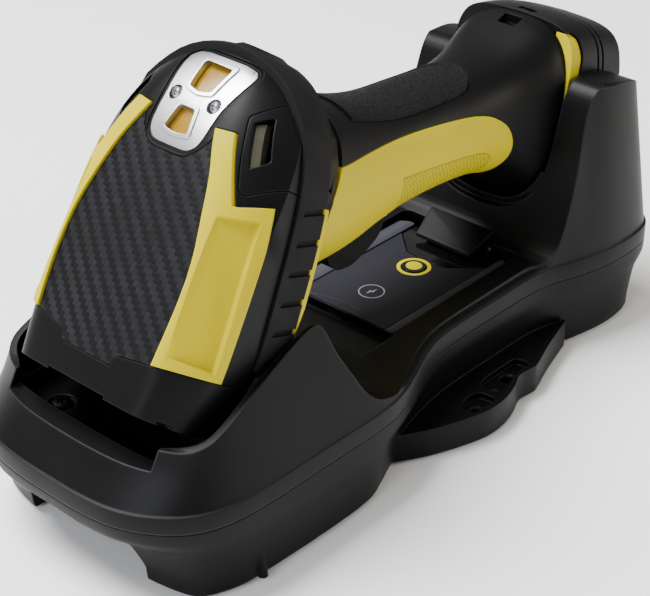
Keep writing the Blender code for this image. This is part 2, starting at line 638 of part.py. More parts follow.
def handle():
    """The handle shell, its soft back pad and the long front grip, hollow for the battery."""
    g = GAP / 2
    grip_zone = [(x, z) for x, z in GRIP_SPLIT] + [(66, 72), (60, 62), (58, 40), (-60, 40), (-60, 106)]
    room = cut(handle_form(0), head_space(GAP))
    bore = handle_form(GRIP_WALL, -60, 90)
    room = cut(room, bore)
    shell = cut(copy_of(room), prism(shrunk(grip_zone, -g), -60, 60, side_view))
    grip = keep(room, prism(shrunk(grip_zone, g), -60, 60, side_view))
    pad_plan = [(-8, -13), (46, -12.4), (54, -10), (57.6, -5), (58.4, 0), (57.6, 5), (54, 10),
                (46, 12.4), (-8, 13)]
    above = 96
    pad_band = cut(handle_form(-0.6, -12, 60), handle_form(1.0, -14, 62))
    pad = keep(pad_band, prism(shrunk(pad_plan, g), above, 140, plan_view))
    shell = cut(shell, keep(cut(handle_form(-2, -14, 62), handle_form(1.0 + GAP, -16, 64)),
                            prism(shrunk(pad_plan, -g), above - 1, 140, plan_view)))
    named(pad, "grip_pad", "black_soft")
    mouth = box((-16, 15), (-8.2, 8.2), (50, 80))
    grip = cut(grip, mouth, across(TRIGGER_PIVOT, 12.2, TRIGGER_PIN_R + GAP))
    named(shell, "handle_shell", "black_abs")
    named(grip, "front_grip", "yellow_pc")


def foot():
    """The collar and the cap that close the foot of the handle."""
    def slab(x0, x1, wide0, wide1, top0, top1, low0, low1, shrink=0.0):
        rings = []
        for x, wide, top, low in ((x0, wide0, top0, low0), (x1, wide1, top1, low1)):
            wide, top, low = wide - shrink, top - shrink, low + shrink
            rings.append([(x, y, z) for y, z in
                          ((-wide * 0.45, low), (-wide * 0.8, low + 10), (-wide, low + 26),
                           (-wide, top - 12), (-wide * 0.86, top - 4), (-wide * 0.55, top),
                           (wide * 0.55, top), (wide * 0.86, top - 4), (wide, top - 12),
                           (wide, low + 26), (wide * 0.8, low + 10), (wide * 0.45, low))])
        return loft(rings)
    collar = cut(slab(87.3, 92, 22.4, 22.4, 109.4, 108.4, 50, 50),
                 slab(80, 98, 19, 19, 105.4, 104.4, 54, 54))
    named(collar, "cap_collar", "yellow_pc")
    cap = slab(92.3, 121.6, 26.4, 24.6, 111.6, 101.8, 47, 52)
    cap = cut(cap, slab(80, 119, 24, 22.2, 109, 99.4, 50, 55))
    named(cap, "battery_cap", "black_abs")


def handle_inside():
    """Trigger, switch, battery, coil: what the handle holds."""
    body = [(-13.4, 67.6), (-13.4, 60.2), (-9, 55.6), (-2, 54.6), (5, 57), (11, 60),
            (14, 63.4), (14, 72.4), (12.4, 74.2), (8, 74.2), (5.4, 70.4), (0, 67.4)]
    trigger = prism(body, -7.6, 7.6, side_view)
    trigger = cut(trigger, across(TRIGGER_PIVOT, 20, TRIGGER_PIN_R + GAP))
    origin_to(named(trigger, "trigger", "black_soft"), (TRIGGER_PIVOT[0], 0, TRIGGER_PIVOT[1]))
    named(across(TRIGGER_PIVOT, 11.6, TRIGGER_PIN_R), "trigger_pin", "steel")
    named(box((-12, -2), (-4, 4), (77.2, 83.4)), "trigger_switch", "black_abs")
    plunger = rod((-7, 0, 68.4), (-7, 0, 74.4), 1.3, 16)
    named(plunger, "switch_plunger", "steel")
    named(box((-12, 16), (-11, 11), (83.7, 85.3)), "trigger_board", "board")
    named(box((26, 84), (-10.6, 10.6), (76, 96), 2.0), "battery_pack", "cell")
    named(box((20, 24.6), (-9, 9), (79, 93)), "battery_contacts", "copper")
    coil = cut(rod((106, 0, 80), (107.6, 0, 80), 16, 32), rod((100, 0, 80), (110, 0, 80), 8, 24))
    named(coil, "receiver_coil", "copper")


def origin_to(solid, point):
    """Puts an object's origin on its joint axis, without moving its mesh."""
    place = Vector(point) * MM
    solid.data.transform(Matrix.Translation(-place))
    solid.location = place
    return solid


# ---- cradle fittings -----------------------------------------------------------------------
def cradle_fittings():
    """Label, strips, link button, retaining tab, board, coil, inlet, feet and screws."""
    plate = [(2, -19), (56, -19), (47, -9), (45.6, 0), (47, 9), (56, 19), (2, 19)]
    label = prism(plate, LABEL_Z - 1.1, LABEL_Z, plan_view)
    label = cut(label, rod((40.2, 0, 20), (40.2, 0, 60), 5.6, 24))
    named(label, "label_plate", "label")
    panel = [(56.4, -19), (64, -19), (64, 19), (56.4, 19), (47.4, 9), (46, 0), (47.4, -9)]
    named(prism(panel, LABEL_Z - 1.1, LABEL_Z - 0.3, plan_view), "status_panel", "glass")
    for side, name in ((-1, "left"), (1, "right")):
        strip = [(-1, side * 19.6), (64.6, side * 19.6), (61.6, side * 24.6), (1, side * 24.6)]
        named(prism(strip, LABEL_Z - 1.1, LABEL_Z + 0.9, plan_view), f"label_strip_{name}", "strip")
    button = join(rod((40.2, 0, 27), (40.2, 0, LABEL_Z + 0.5), 4.2, 24),
                  rod((40.2, 0, 26), (40.2, 0, 28), 5.4, 24))
    origin_to(named(button, "link_button", "yellow_pc"), (40.2, 0, LABEL_Z))
    tab = prism([(55.6, 36.2), (56.2, 34.6), (64.4, 38.4), (64.4, 33), (67.2, 33), (67.2, 42)],
                -14, 14, side_view)
    tab = cut(tab, across(TAB_PIVOT, 20, 1.3))
    origin_to(named(tab, "retaining_tab", "black_abs"), (TAB_PIVOT[0], 0, TAB_PIVOT[1]))
    named(across(TAB_PIVOT, 14.4, 1.0), "retaining_pin", "steel")
    board = cut(box((-60, 50), (-28, 28), (17, 18.6)), rod((20, 0, 10), (20, 0, 30), 4, 16))
    named(board, "cradle_board", "board")
    named(box((36.2, 44.2), (-4, 4), (18.9, 24.6)), "link_switch", "black_abs")
    coil = cut(rod((108, 0, 30), (108, 0, 31.6), 15, 32), rod((108, 0, 20), (108, 0, 40), 7, 24))
    named(coil, "charging_coil", "copper")
    named(box((92, 122), (-16, 16), (26, 28.2)), "coil_ferrite", "ferrite")
    inlet = cut(box((-99.4, -82), (-6, 6), (8, 16), 0.0),
                box((-110, -90), (-4.4, 4.4), (9.6, 14.4)))
    named(inlet, "power_inlet", "black_abs")
    feet = ((-94, 40), (98, 36), (98, -36), (-94, -40))
    for k, (x, y) in enumerate(feet):
        named(rod((x, y, 0), (x, y, FLOOR_Z - GAP), 5.6, 28), f"rubber_foot_{k + 1}", "black_soft")
    for side, name in ((-1, "left"), (1, "right")):
        y = side * 27
        head = rod((-98, y, POCKET_FLOOR_Z - 0.8), (-98, y, POCKET_FLOOR_Z + 1.0), 3.4, 20, 2.8)
        shank = rod((-98, y, 22), (-98, y, POCKET_FLOOR_Z - 0.5), 1.5, 16)
        named(join(head, shank), f"pocket_screw_{name}", "steel")


def main():
    for thing in list(bpy.data.objects):
        bpy.data.objects.remove(thing)
    upper_shell()
    lower_shell()
    cradle_fittings()
    head_covers()
    metal_plate()
    head_inside()
    handle()
    foot()
    handle_inside()
    for thing in bpy.data.objects:
        thing.location.x += CENTRE_SHIFT * MM


main()
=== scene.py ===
import math

import bmesh
import bpy
from mathutils import Matrix, Vector


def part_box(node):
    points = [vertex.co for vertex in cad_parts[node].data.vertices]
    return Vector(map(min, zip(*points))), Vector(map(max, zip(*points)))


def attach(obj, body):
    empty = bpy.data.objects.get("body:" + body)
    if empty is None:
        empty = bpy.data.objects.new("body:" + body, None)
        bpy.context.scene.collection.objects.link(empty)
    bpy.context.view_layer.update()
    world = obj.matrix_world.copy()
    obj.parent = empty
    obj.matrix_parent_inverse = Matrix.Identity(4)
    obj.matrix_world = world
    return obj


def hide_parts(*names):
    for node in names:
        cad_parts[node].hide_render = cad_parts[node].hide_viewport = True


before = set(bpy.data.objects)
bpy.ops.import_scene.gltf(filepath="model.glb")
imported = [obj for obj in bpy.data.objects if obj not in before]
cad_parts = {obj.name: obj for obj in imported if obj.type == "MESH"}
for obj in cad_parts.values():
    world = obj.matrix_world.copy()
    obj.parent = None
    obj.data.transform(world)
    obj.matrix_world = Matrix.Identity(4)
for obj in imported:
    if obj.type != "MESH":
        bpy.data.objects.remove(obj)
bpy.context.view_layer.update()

mm = 0.001
# shapes are drawn in millimetres; the drawing's zero along X is found from the button's place
buttonLow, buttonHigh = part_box("link_button")
zeroX = (buttonLow.x + buttonHigh.x) / 2 - 40.2 * mm
toFrame = Matrix.Translation((zeroX, 0, 0)) @ Matrix.Scale(mm, 4)
gap = 0.3          # clearance between neighbouring mouldings
mergeWithin = 0.004   # points closer than this after a Boolean are one point
dullPolish = 0.12  # specular level of grained plastic and rubber, well under the default


# ---- camera, lights and floor come first ----
view = {"azimuth": -47.8, "elevation": 31.0, "distance": 0.660, "lens": 96.75,
        "target": (zeroX + 0.0447, 0.0462, 0.0), "floor": "#fbfbfa", "sky": 0.40}
lamps = [  # name, place, aim, size in metres, watts, colour
    ("topSoftbox", (-0.30, 0.45, 1.20), (0.0, 0.0, 0.05), 0.8, 46.0, "#ffffff"),
    ("leftSoftbox", (-0.95, -0.15, 0.55), (-0.03, 0.0, 0.08), 0.6, 6.0, "#f4f7ff"),
    ("rightStrip", (0.75, -0.85, 0.40), (0.04, 0.0, 0.04), 0.5, 6.5, "#fff6e8"),
]


def toLinear(hexColour):
    parts = [int(hexColour[k:k + 2], 16) / 255 for k in (1, 3, 5)]
    return tuple(p / 12.92 if p <= 0.04045 else ((p + 0.055) / 1.055) ** 2.4 for p in parts) + (1.0,)


def aimAt(thing, target):
    thing.rotation_euler = (Vector(target) - thing.location).to_track_quat("-Z", "Y").to_euler()


def setStage():
    a, e = math.radians(view["azimuth"]), math.radians(view["elevation"])
    back = Vector((math.sin(a) * math.cos(e), -math.cos(a) * math.cos(e), math.sin(e)))
    camera = bpy.data.objects.new("camera", bpy.data.cameras.new("camera"))
    camera.data.lens, camera.data.sensor_width = view["lens"], 36
    camera.location = Vector(view["target"]) + back * view["distance"]
    camera.data.clip_start = 0.01
    aimAt(camera, view["target"])
    bpy.context.scene.collection.objects.link(camera)
    bpy.context.scene.camera = camera
    for name, place, aim, size, watts, colour in lamps:
        lamp = bpy.data.objects.new(name, bpy.data.lights.new(name, "AREA"))
        lamp.data.shape, lamp.data.size, lamp.data.energy = "DISK", size, watts
        lamp.data.color = toLinear(colour)[:3]
        lamp.location = place
        aimAt(lamp, aim)
        bpy.context.scene.collection.objects.link(lamp)
    world = bpy.data.worlds.new("studio")
    world.use_nodes = True
    world.node_tree.nodes["Background"].inputs["Color"].default_value = (1, 1, 1, 1)
    world.node_tree.nodes["Background"].inputs["Strength"].default_value = view["sky"]
    bpy.context.scene.world = world
    bm = bmesh.new()
    bmesh.ops.create_grid(bm, x_segments=2, y_segments=2, size=6)
    floor = workPiece(bm, "floor")
    floor.data.materials.append(paperFloor())


# ---- small tools ----
def addNode(tree, kind, settings=None, links=None):
    node = tree.nodes.new(kind)
    for key, value in (settings or {}).items():
        if isinstance(key, str) and hasattr(node, key):
            setattr(node, key, value)
        else:
            node.inputs[key].default_value = value
    for key, source in (links or {}).items():
        tree.links.new(source, node.inputs[key])
    return node


def newMaterial(name, values):
    made = bpy.data.materials.new(name)
    made.use_nodes = True
    tree = made.node_tree
    shader = tree.nodes["Principled BSDF"]
    for key, value in values.items():
        shader.inputs[key].default_value = value
    place = addNode(tree, "ShaderNodeTexCoord").outputs["Object"]
    return made, tree, shader, place


def dress(tree, shader, colour, share, rough, relief=None, bump=None, edge=None):
    # the ends that every material has: its colour, its gloss by a share, and its relief
    tree.links.new(colour, shader.inputs["Base Color"])
    gloss = addNode(tree, "ShaderNodeMapRange", {"To Min": rough[0], "To Max": rough[1]}, {"Value": share})
    tree.links.new(gloss.outputs["Result"], shader.inputs["Roughness"])
    if relief:
        ends = {"Height": relief}
        if edge:
            ends["Normal"] = edge.outputs["Normal"]
        raised = addNode(tree, "ShaderNodeBump", {"Strength": bump[0], "Distance": bump[1] * mm}, ends)
        tree.links.new(raised.outputs["Normal"], shader.inputs["Normal"])


def paperFloor():
    made, tree, shader, place = newMaterial("paperFloor", {"Roughness": 0.9})
    cloud = addNode(tree, "ShaderNodeTexNoise", {"Scale": 3.0, "Detail": 2.0}, {"Vector": place})
    blend = addNode(tree, "ShaderNodeMix", {"data_type": "RGBA", 6: toLinear(view["floor"]),
                                            7: toLinear("#f8f8f7")}, {0: cloud.outputs["Fac"]})
    tree.links.new(blend.outputs[2], shader.inputs["Base Color"])
    return made


def workPiece(bm, name="work"):
    mesh = bpy.data.meshes.new(name)
    bm.to_mesh(mesh)
    bm.free()
    piece = bpy.data.objects.new(name, mesh)
    bpy.context.scene.collection.objects.link(piece)
    return piece


def loft(rings):
    # a closed skin bridged through rings of points, with flat ends
    bm = bmesh.new()
    loops = []
    for ring in rings:
        corners = [bm.verts.new(point) for point in ring]
        loops.append([bm.edges.new(pair) for pair in zip(corners, corners[1:] + corners[:1])])
    for low, high in zip(loops, loops[1:]):
        bmesh.ops.bridge_loops(bm, edges=low + high)
    for end in (loops[0], loops[-1]):
        bmesh.ops.edgeloop_fill(bm, edges=end)
    bmesh.ops.triangulate(bm, faces=bm.faces)
    bmesh.ops.recalc_face_normals(bm, faces=bm.faces)
    return workPiece(bm)


def prism(outline, low, high, place):
    # a flat outline pulled straight from one level to another
    bm = bmesh.new()
    face = bm.faces.new([bm.verts.new(place(a, b, low)) for a, b in outline])
    grown = bmesh.ops.extrude_face_region(bm, geom=[face])["geom"]
    pull = Vector(place(0, 0, high)) - Vector(place(0, 0, low))
    bmesh.ops.translate(bm, vec=pull, verts=[v for v in grown if isinstance(v, bmesh.types.BMVert)])
    bmesh.ops.triangulate(bm, faces=bm.faces)
    bmesh.ops.recalc_face_normals(bm, faces=bm.faces)
    return workPiece(bm)


def sideView(x, z, y):
    return (x, y, z)


def planView(x, y, z):
    return (x, y, z)


def frontView(y, z, x):
    return (x, y, z)


def block(x, y, z, round=0.0):
    bm = bmesh.new()
    bmesh.ops.create_cube(bm, size=1)
    bmesh.ops.scale(bm, vec=[b - a for a, b in (x, y, z)], verts=bm.verts)
    bmesh.ops.translate(bm, vec=[(a + b) / 2 for a, b in (x, y, z)], verts=bm.verts)
    if round:
        bmesh.ops.bevel(bm, geom=bm.edges[:], offset=round, offset_type="OFFSET", segments=3,
                        profile=0.5, affect="EDGES", material=-1)
    return workPiece(bm)


def turned(profile, at=(0, 0, 0), along=(0, 0, 1), steps=40):
    # a profile of (radius, height) spun round an axis; it starts and ends on the axis
    bm = bmesh.new()
    line = [bm.verts.new((r, 0, h)) for r, h in profile]
    edges = [bm.edges.new(pair) for pair in zip(line, line[1:])]
    bmesh.ops.spin(bm, geom=line + edges, cent=(0, 0, 0), axis=(0, 0, 1), dvec=(0, 0, 0),
                   angle=math.tau, steps=steps, use_merge=True)
    bmesh.ops.remove_doubles(bm, verts=bm.verts, dist=0.002)
    bmesh.ops.recalc_face_normals(bm, faces=bm.faces)
    turn = Vector((0, 0, 1)).rotation_difference(Vector(along).normalized()).to_matrix().to_4x4()
    bmesh.ops.transform(bm, matrix=Matrix.Translation(at) @ turn, verts=bm.verts)
    return workPiece(bm)


def rod(start, end, radius, steps=40):
    along = Vector(end) - Vector(start)
    return turned([(0, 0), (radius, 0), (radius, along.length), (0, along.length)], start, along, steps)


def combine(piece, others, operation):
    for other in others:
        step = piece.modifiers.new("step", "BOOLEAN")
        step.operation, step.object, step.solver = operation, other, "EXACT"
    graph = bpy.context.evaluated_depsgraph_get()
    piece.data = bpy.data.meshes.new_from_object(piece.evaluated_get(graph), depsgraph=graph)
    piece.modifiers.clear()
    for other in others:
        bpy.data.objects.remove(other)
    return piece


def cut(piece, *others):
    return combine(piece, others, "DIFFERENCE")


def join(piece, *others):
    return combine(piece, others, "UNION")


def keep(piece, *others):
    return combine(piece, others, "INTERSECT")


def copyOf(piece):
    made = bpy.data.objects.new(piece.name + "Copy", piece.data.copy())
    bpy.context.scene.collection.objects.link(made)
    return made


def finish(piece, name, look, body, replaced=(), sharp=32):
    bm = bmesh.new()
    bm.from_mesh(piece.data)
    bmesh.ops.remove_doubles(bm, verts=bm.verts, dist=mergeWithin)
    bmesh.ops.dissolve_degenerate(bm, edges=bm.edges, dist=mergeWithin)
    bmesh.ops.transform(bm, matrix=toFrame, verts=bm.verts)
    bm.to_mesh(piece.data)
    bm.free()
    piece.name = piece.data.name = name
    piece.data.materials.clear()
    piece.data.materials.append(look)
    piece.data.shade_smooth()
    piece.data.set_sharp_from_angle(angle=math.radians(sharp))
    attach(piece, body)
    if replaced:
        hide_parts(*replaced)
    return piece


def smoothRun(points, steps):
    # a smooth run (Catmull-Rom) through the points
    ends = [points[0]] + list(points) + [points[-1]]
    run = []
    for a, b, c, d in zip(ends, ends[1:], ends[2:], ends[3:]):
        for k in range(steps):
            t = k / steps
            run.append(tuple(0.5 * (2 * q + (r - p) * t + (2 * p - 5 * q + 4 * r - s) * t * t
                                    + (3 * q - p - 3 * r + s) * t ** 3)
                             for p, q, r, s in zip(a, b, c, d)))
    run.append(tuple(points[-1]))
    return run


def readOff(table, x):
    # a smooth reading of a table of (x, value) pairs
    if x <= table[0][0]:
        return table[0][1]
    for k, ((x0, v0), (x1, v1)) in enumerate(zip(table, table[1:])):
        if x <= x1:
            before = table[max(k - 1, 0)]
            after = table[min(k + 2, len(table) - 1)]
            t = (x - x0) / (x1 - x0)
            slope0 = (v1 - before[1]) / (x1 - before[0]) * (x1 - x0)
            slope1 = (after[1] - v0) / (after[0] - x0) * (x1 - x0)
            return ((2 * t ** 3 - 3 * t * t + 1) * v0 + (t ** 3 - 2 * t * t + t) * slope0
                    + (3 * t * t - 2 * t ** 3) * v1 + (t ** 3 - t * t) * slope1)
    return table[-1][1]


def movedIn(outline, amount):
    # a closed outline with every side moved in (out, where amount is negative)
    if not amount:
        return list(outline)
    area = sum(x0 * y1 - x1 * y0 for (x0, y0), (x1, y1) in zip(outline, outline[1:] + outline[:1]))
    turn = math.copysign(1, area)
    moved = []
    for k, here in enumerate(outline):
        before, after, here = Vector(outline[k - 1]), Vector(outline[(k + 1) % len(outline)]), Vector(here)
        a, b = (here - before).normalized(), (after - here).normalized()
        na, nb = Vector((-a.y, a.x)) * turn, Vector((-b.y, b.x)) * turn
        moved.append(tuple(here + (na + nb) / max(1 + na.dot(nb), 0.35) * amount))
    return moved


def rounded(outline, radius, steps=4):
    # an outline with its corners rounded by at most this radius
    run = []
    for k, here in enumerate(outline):
        before, after, here = Vector(outline[k - 1]), Vector(outline[(k + 1) % len(outline)]), Vector(here)
        inward, outward = before - here, after - here
        reach = min(radius, inward.length * 0.45, outward.length * 0.45)
        start, end = here + inward.normalized() * reach, here + outward.normalized() * reach
        for j in range(steps + 1):
            t = j / steps
            run.append(tuple((1 - t) ** 2 * start + 2 * t * (1 - t) * here + t * t * end))
    return run


def wholeOf(half):
    # one side's points run down one side of the middle line and back up the other
    return [(x, -y) for x, y in half] + [(x, y) for x, y in reversed(half)]


def sweep(path, profile):
    # a closed profile of (across, height) carried along a path
    rings = []
    for k, here in enumerate(path):
        before, after = Vector(path[max(k - 1, 0)]), Vector(path[min(k + 1, len(path) - 1)])
        along = (after - before).normalized()
        across = along.cross(Vector((0, 0, 1))).normalized()
        lift = across.cross(along)
        rings.append([tuple(Vector(here) + across * a + lift * b) for a, b in profile])
    return loft(rings)


# ---- materials ----
def mouldedPlastic(name, s):
    # injection moulded plastic: a fine spark-eroded grain breaks up the gloss, wide soft patches
    # vary it, and every rounded edge is painted lighter towards the rim colour: a painted highlight
    made, tree, shader, place = newMaterial(name, {
        "Metallic": 0.0, "IOR": 1.49, "Specular IOR Level": dullPolish,
        "Coat Weight": s.get("coat", 0.0), "Coat Roughness": 0.12})
    grain = addNode(tree, "ShaderNodeTexNoise", {"Scale": 1 / (s["grain"] * mm), "Detail": 3.0,
                                                 "Roughness": 0.6}, {"Vector": place})
    patch = addNode(tree, "ShaderNodeTexNoise", {"Scale": 1 / (s.get("patch", 22) * mm), "Detail": 3.0},
                    {"Vector": place})
    edge = addNode(tree, "ShaderNodeBevel", {"samples": 6, "Radius": s["edge"] * mm})
    face = addNode(tree, "ShaderNodeNewGeometry")
    turn = addNode(tree, "ShaderNodeVectorMath", {"operation": "DOT_PRODUCT"},
                   {0: edge.outputs["Normal"], 1: face.outputs["Normal"]})
    # painted highlight along the edges: where the rounded Bevel normal turns away from the face normal, the
    # colour is mixed towards the lighter rim colour
    paintedEdgeHighlight = addNode(tree, "ShaderNodeMapRange", {"From Min": 0.995, "From Max": 0.86, "To Min": 0.0,
                                                "To Max": s.get("edgeHighlightShare", 0.35)},
                                                {"Value": turn.outputs["Value"]})
    base = addNode(tree, "ShaderNodeMix", {"data_type": "RGBA", 6: toLinear(s["dark"]),
                                           7: toLinear(s["light"])}, {0: patch.outputs["Fac"]})
    rim = addNode(tree, "ShaderNodeMix", {"data_type": "RGBA", 7: toLinear(s["rim"])},
                  {0: paintedEdgeHighlight.outputs["Result"], 6: base.outputs[2]})
    dress(tree, shader, rim.outputs[2], patch.outputs["Fac"], s["rough"], grain.outputs["Fac"],
          (s.get("strength", 0.35), s["depth"]), edge)
    return made


def rubberWithRelief(name, s, height):
    # soft-touch elastomer: nearly no gloss; height(tree, place) gives the moulded relief
    made, tree, shader, place = newMaterial(name, {"Metallic": 0.0, "IOR": 1.5,
                                                   "Specular IOR Level": dullPolish})
    relief, cells = height(tree, place)
    edge = addNode(tree, "ShaderNodeBevel", {"samples": 4, "Radius": s["edge"] * mm})
    # the tone follows the second output of height(): for the pebbles and chevrons that is the relief
    # itself, so the hollows are painted darker and the raised tops lighter (painted shade and painted
    # highlight); for the grain it is a wide noise
    tone = addNode(tree, "ShaderNodeMix", {"data_type": "RGBA", 6: toLinear(s["dark"]),
                                           7: toLinear(s["light"])}, {0: cells})
    dress(tree, shader, tone.outputs[2], cells, s["rough"][::-1], relief, (s["strength"], s["depth"]), edge)
    return made


def pebbleHeight(tree, place):
    # rounded pebbles about 1.1 mm apart
    cells = addNode(tree, "ShaderNodeTexVoronoi", {"feature": "SMOOTH_F1", "Scale": 1 / (1.1 * mm),
                                                   "Smoothness": 0.35}, {"Vector": place})
    raised = addNode(tree, "ShaderNodeMapRange", {"From Min": 0.55, "From Max": 0.1},
                     {"Value": cells.outputs["Distance"]})
    return raised.outputs["Result"], raised.outputs["Result"]


def chevronHeight(tree, place):
    # rows of moulded V strokes, 1.7 mm apart, running along the grip
    axes = addNode(tree, "ShaderNodeSeparateXYZ", {}, {"Vector": place})
    fold = addNode(tree, "ShaderNodeMath", {"operation": "PINGPONG", 1: 1.5 * mm}, {0: axes.outputs["Z"]})
    lean = addNode(tree, "ShaderNodeMath", {"operation": "MULTIPLY_ADD", 1: 0.8},
                   {0: fold.outputs["Value"], 2: axes.outputs["X"]})
    turns = addNode(tree, "ShaderNodeMath", {"operation": "MULTIPLY", 1: math.tau / (1.7 * mm)},
                    {0: lean.outputs["Value"]})
    wave = addNode(tree, "ShaderNodeMath", {"operation": "SINE"}, {0: turns.outputs["Value"]})
    soft = addNode(tree, "ShaderNodeMapRange", {"From Min": -0.4, "From Max": 0.7},
                   {"Value": wave.outputs["Value"]})
    return soft.outputs["Result"], soft.outputs["Result"]


def grainHeight(tree, place):
    # a matt, slightly leathery surface
    fine = addNode(tree, "ShaderNodeTexNoise", {"Scale": 1 / (0.5 * mm), "Detail": 4.0}, {"Vector": place})
    wide = addNode(tree, "ShaderNodeTexNoise", {"Scale": 1 / (9 * mm), "Detail": 2.0}, {"Vector": place})
    return fine.outputs["Fac"], wide.outputs["Fac"]


def wovenTwill(name, s):
    # carbon-look film under a clear coat: 2 x 2 twill, drawn a little coarse so that it shows.
    # Warp and weft throw the light differently; that sheen is painted into the colour, with warp, weft and
    # randomly brighter sheen tows in different tones, so the weave reads as stair steps
    made, tree, shader, place = newMaterial(name, {"Metallic": 0.0, "IOR": 1.5, "Specular IOR Level": 0.14,
                                                   "Coat Weight": 0.03, "Coat Roughness": 0.3})
    lay = addNode(tree, "ShaderNodeMapping", {"vector_type": "POINT",
                                              "Rotation": (0, -math.radians(90 - headTilt), 0)},
                  {"Vector": place})
    axes = addNode(tree, "ShaderNodeSeparateXYZ", {}, {"Vector": lay.outputs["Vector"]})
    rows = []
    for axis in ("Z", "Y"):
        count = addNode(tree, "ShaderNodeMath", {"operation": "MULTIPLY", 1: 1 / (s["tow"] * mm)},
                        {0: axes.outputs[axis]})
        whole = addNode(tree, "ShaderNodeMath", {"operation": "FLOOR"}, {0: count.outputs["Value"]})
        part = addNode(tree, "ShaderNodeMath", {"operation": "FRACT"}, {0: count.outputs["Value"]})
        rows.append((whole.outputs["Value"], part.outputs["Value"]))
    diagonal = addNode(tree, "ShaderNodeMath", {"operation": "SUBTRACT"}, {0: rows[0][0], 1: rows[1][0]})
    cycle = addNode(tree, "ShaderNodeMath", {"operation": "FLOORED_MODULO", 1: 4.0},
                    {0: diagonal.outputs["Value"]})
    warp = addNode(tree, "ShaderNodeMath", {"operation": "LESS_THAN", 1: 1.5}, {0: cycle.outputs["Value"]})
    bows = []
    for whole, part in rows:
        angle = addNode(tree, "ShaderNodeMath", {"operation": "MULTIPLY", 1: math.pi}, {0: part})
        bows.append(addNode(tree, "ShaderNodeMath", {"operation": "SINE"},
                            {0: angle.outputs["Value"]}).outputs["Value"])
    bow = addNode(tree, "ShaderNodeMix", {"data_type": "FLOAT"},
                  {0: warp.outputs["Value"], 2: bows[0], 3: bows[1]})
    cloud = addNode(tree, "ShaderNodeTexNoise", {"Scale": 1 / (26 * mm), "Detail": 2.0}, {"Vector": place})
    odd = addNode(tree, "ShaderNodeCombineXYZ", {}, {"X": rows[0][0], "Y": rows[1][0]})
    speck = addNode(tree, "ShaderNodeTexWhiteNoise", {"noise_dimensions": "3D"},
                    {"Vector": odd.outputs["Vector"]})
    share = addNode(tree, "ShaderNodeMath", {"operation": "MULTIPLY_ADD", 1: 0.45},
                    {0: speck.outputs["Value"], 2: cloud.outputs["Fac"]})
    weft = addNode(tree, "ShaderNodeMix", {"data_type": "RGBA", 6: toLinear(s["weft"]),
                                           7: toLinear(s["sheenTow"])},
                   {0: share.outputs["Value"]})
    tone = addNode(tree, "ShaderNodeMix", {"data_type": "RGBA", 6: toLinear(s["warp"])},
                   {0: warp.outputs["Value"], 7: weft.outputs[2]})
    edge = addNode(tree, "ShaderNodeBevel", {"samples": 4, "Radius": 0.4 * mm})
    dress(tree, shader, tone.outputs[2], warp.outputs["Value"], (0.62, 0.42), bow.outputs[0], (0.35, 0.12),
          edge)
    return made


def satinMetal(name, s):
    # blasted and anodised or plated metal: fine grain, with faint drag lines where it is brushed
    made, tree, shader, place = newMaterial(name, {"Metallic": 1.0})
    lay = addNode(tree, "ShaderNodeMapping", {"Scale": s["stretch"]}, {"Vector": place})
    lines = addNode(tree, "ShaderNodeTexNoise", {"Scale": 1 / (s["line"] * mm), "Detail": 4.0},
                    {"Vector": lay.outputs["Vector"]})
    edge = addNode(tree, "ShaderNodeBevel", {"samples": 6, "Radius": s["edge"] * mm})
    tone = addNode(tree, "ShaderNodeMix", {"data_type": "RGBA", 6: toLinear(s["dark"]),
                                           7: toLinear(s["light"])}, {0: lines.outputs["Fac"]})
    dress(tree, shader, tone.outputs[2], lines.outputs["Fac"], s["rough"], lines.outputs["Fac"],
          (0.2, 0.03), edge)
    return made


def clearPlastic(name, s):
    # cast lens plastic: smooth, part clear, with a slightly milky depth
    made, tree, shader, place = newMaterial(name, {
        "IOR": 1.49, "Transmission Weight": s["clear"], "Subsurface Weight": s.get("milk", 0.0),
        "Subsurface Radius": (0.003, 0.002, 0.001)})
    depth = addNode(tree, "ShaderNodeTexNoise", {"Scale": 1 / (s["cloud"] * mm), "Detail": 2.0},
                    {"Vector": place})
    tone = addNode(tree, "ShaderNodeMix", {"data_type": "RGBA", 6: toLinear(s["dark"]),
                                           7: toLinear(s["light"])}, {0: depth.outputs["Fac"]})
    dress(tree, shader, tone.outputs[2], depth.outputs["Fac"], (s["rough"], s["rough"] + 0.12))
    return made


def solderMask(name, s):
    # glass-epoxy board: lacquer over copper tracks, which show as a lighter maze
    made, tree, shader, place = newMaterial(name, {"IOR": 1.55, "Coat Weight": 0.4, "Coat Roughness": 0.2})
    tracks = addNode(tree, "ShaderNodeTexBrick", {"Scale": 1.0, "Mortar Size": 0.16 * mm,
                                                  "Brick Width": 3.1 * mm,
                                                  "Row Height": 1.4 * mm, "Color1": toLinear(s["dark"]),
                                                  "Color2": toLinear(s["mid"]),
                                                  "Mortar": toLinear(s["track"])},
                     {"Vector": place})
    dress(tree, shader, tracks.outputs["Color"], tracks.outputs["Fac"], (0.3, 0.5), tracks.outputs["Fac"],
          (0.4, 0.035))
    return made


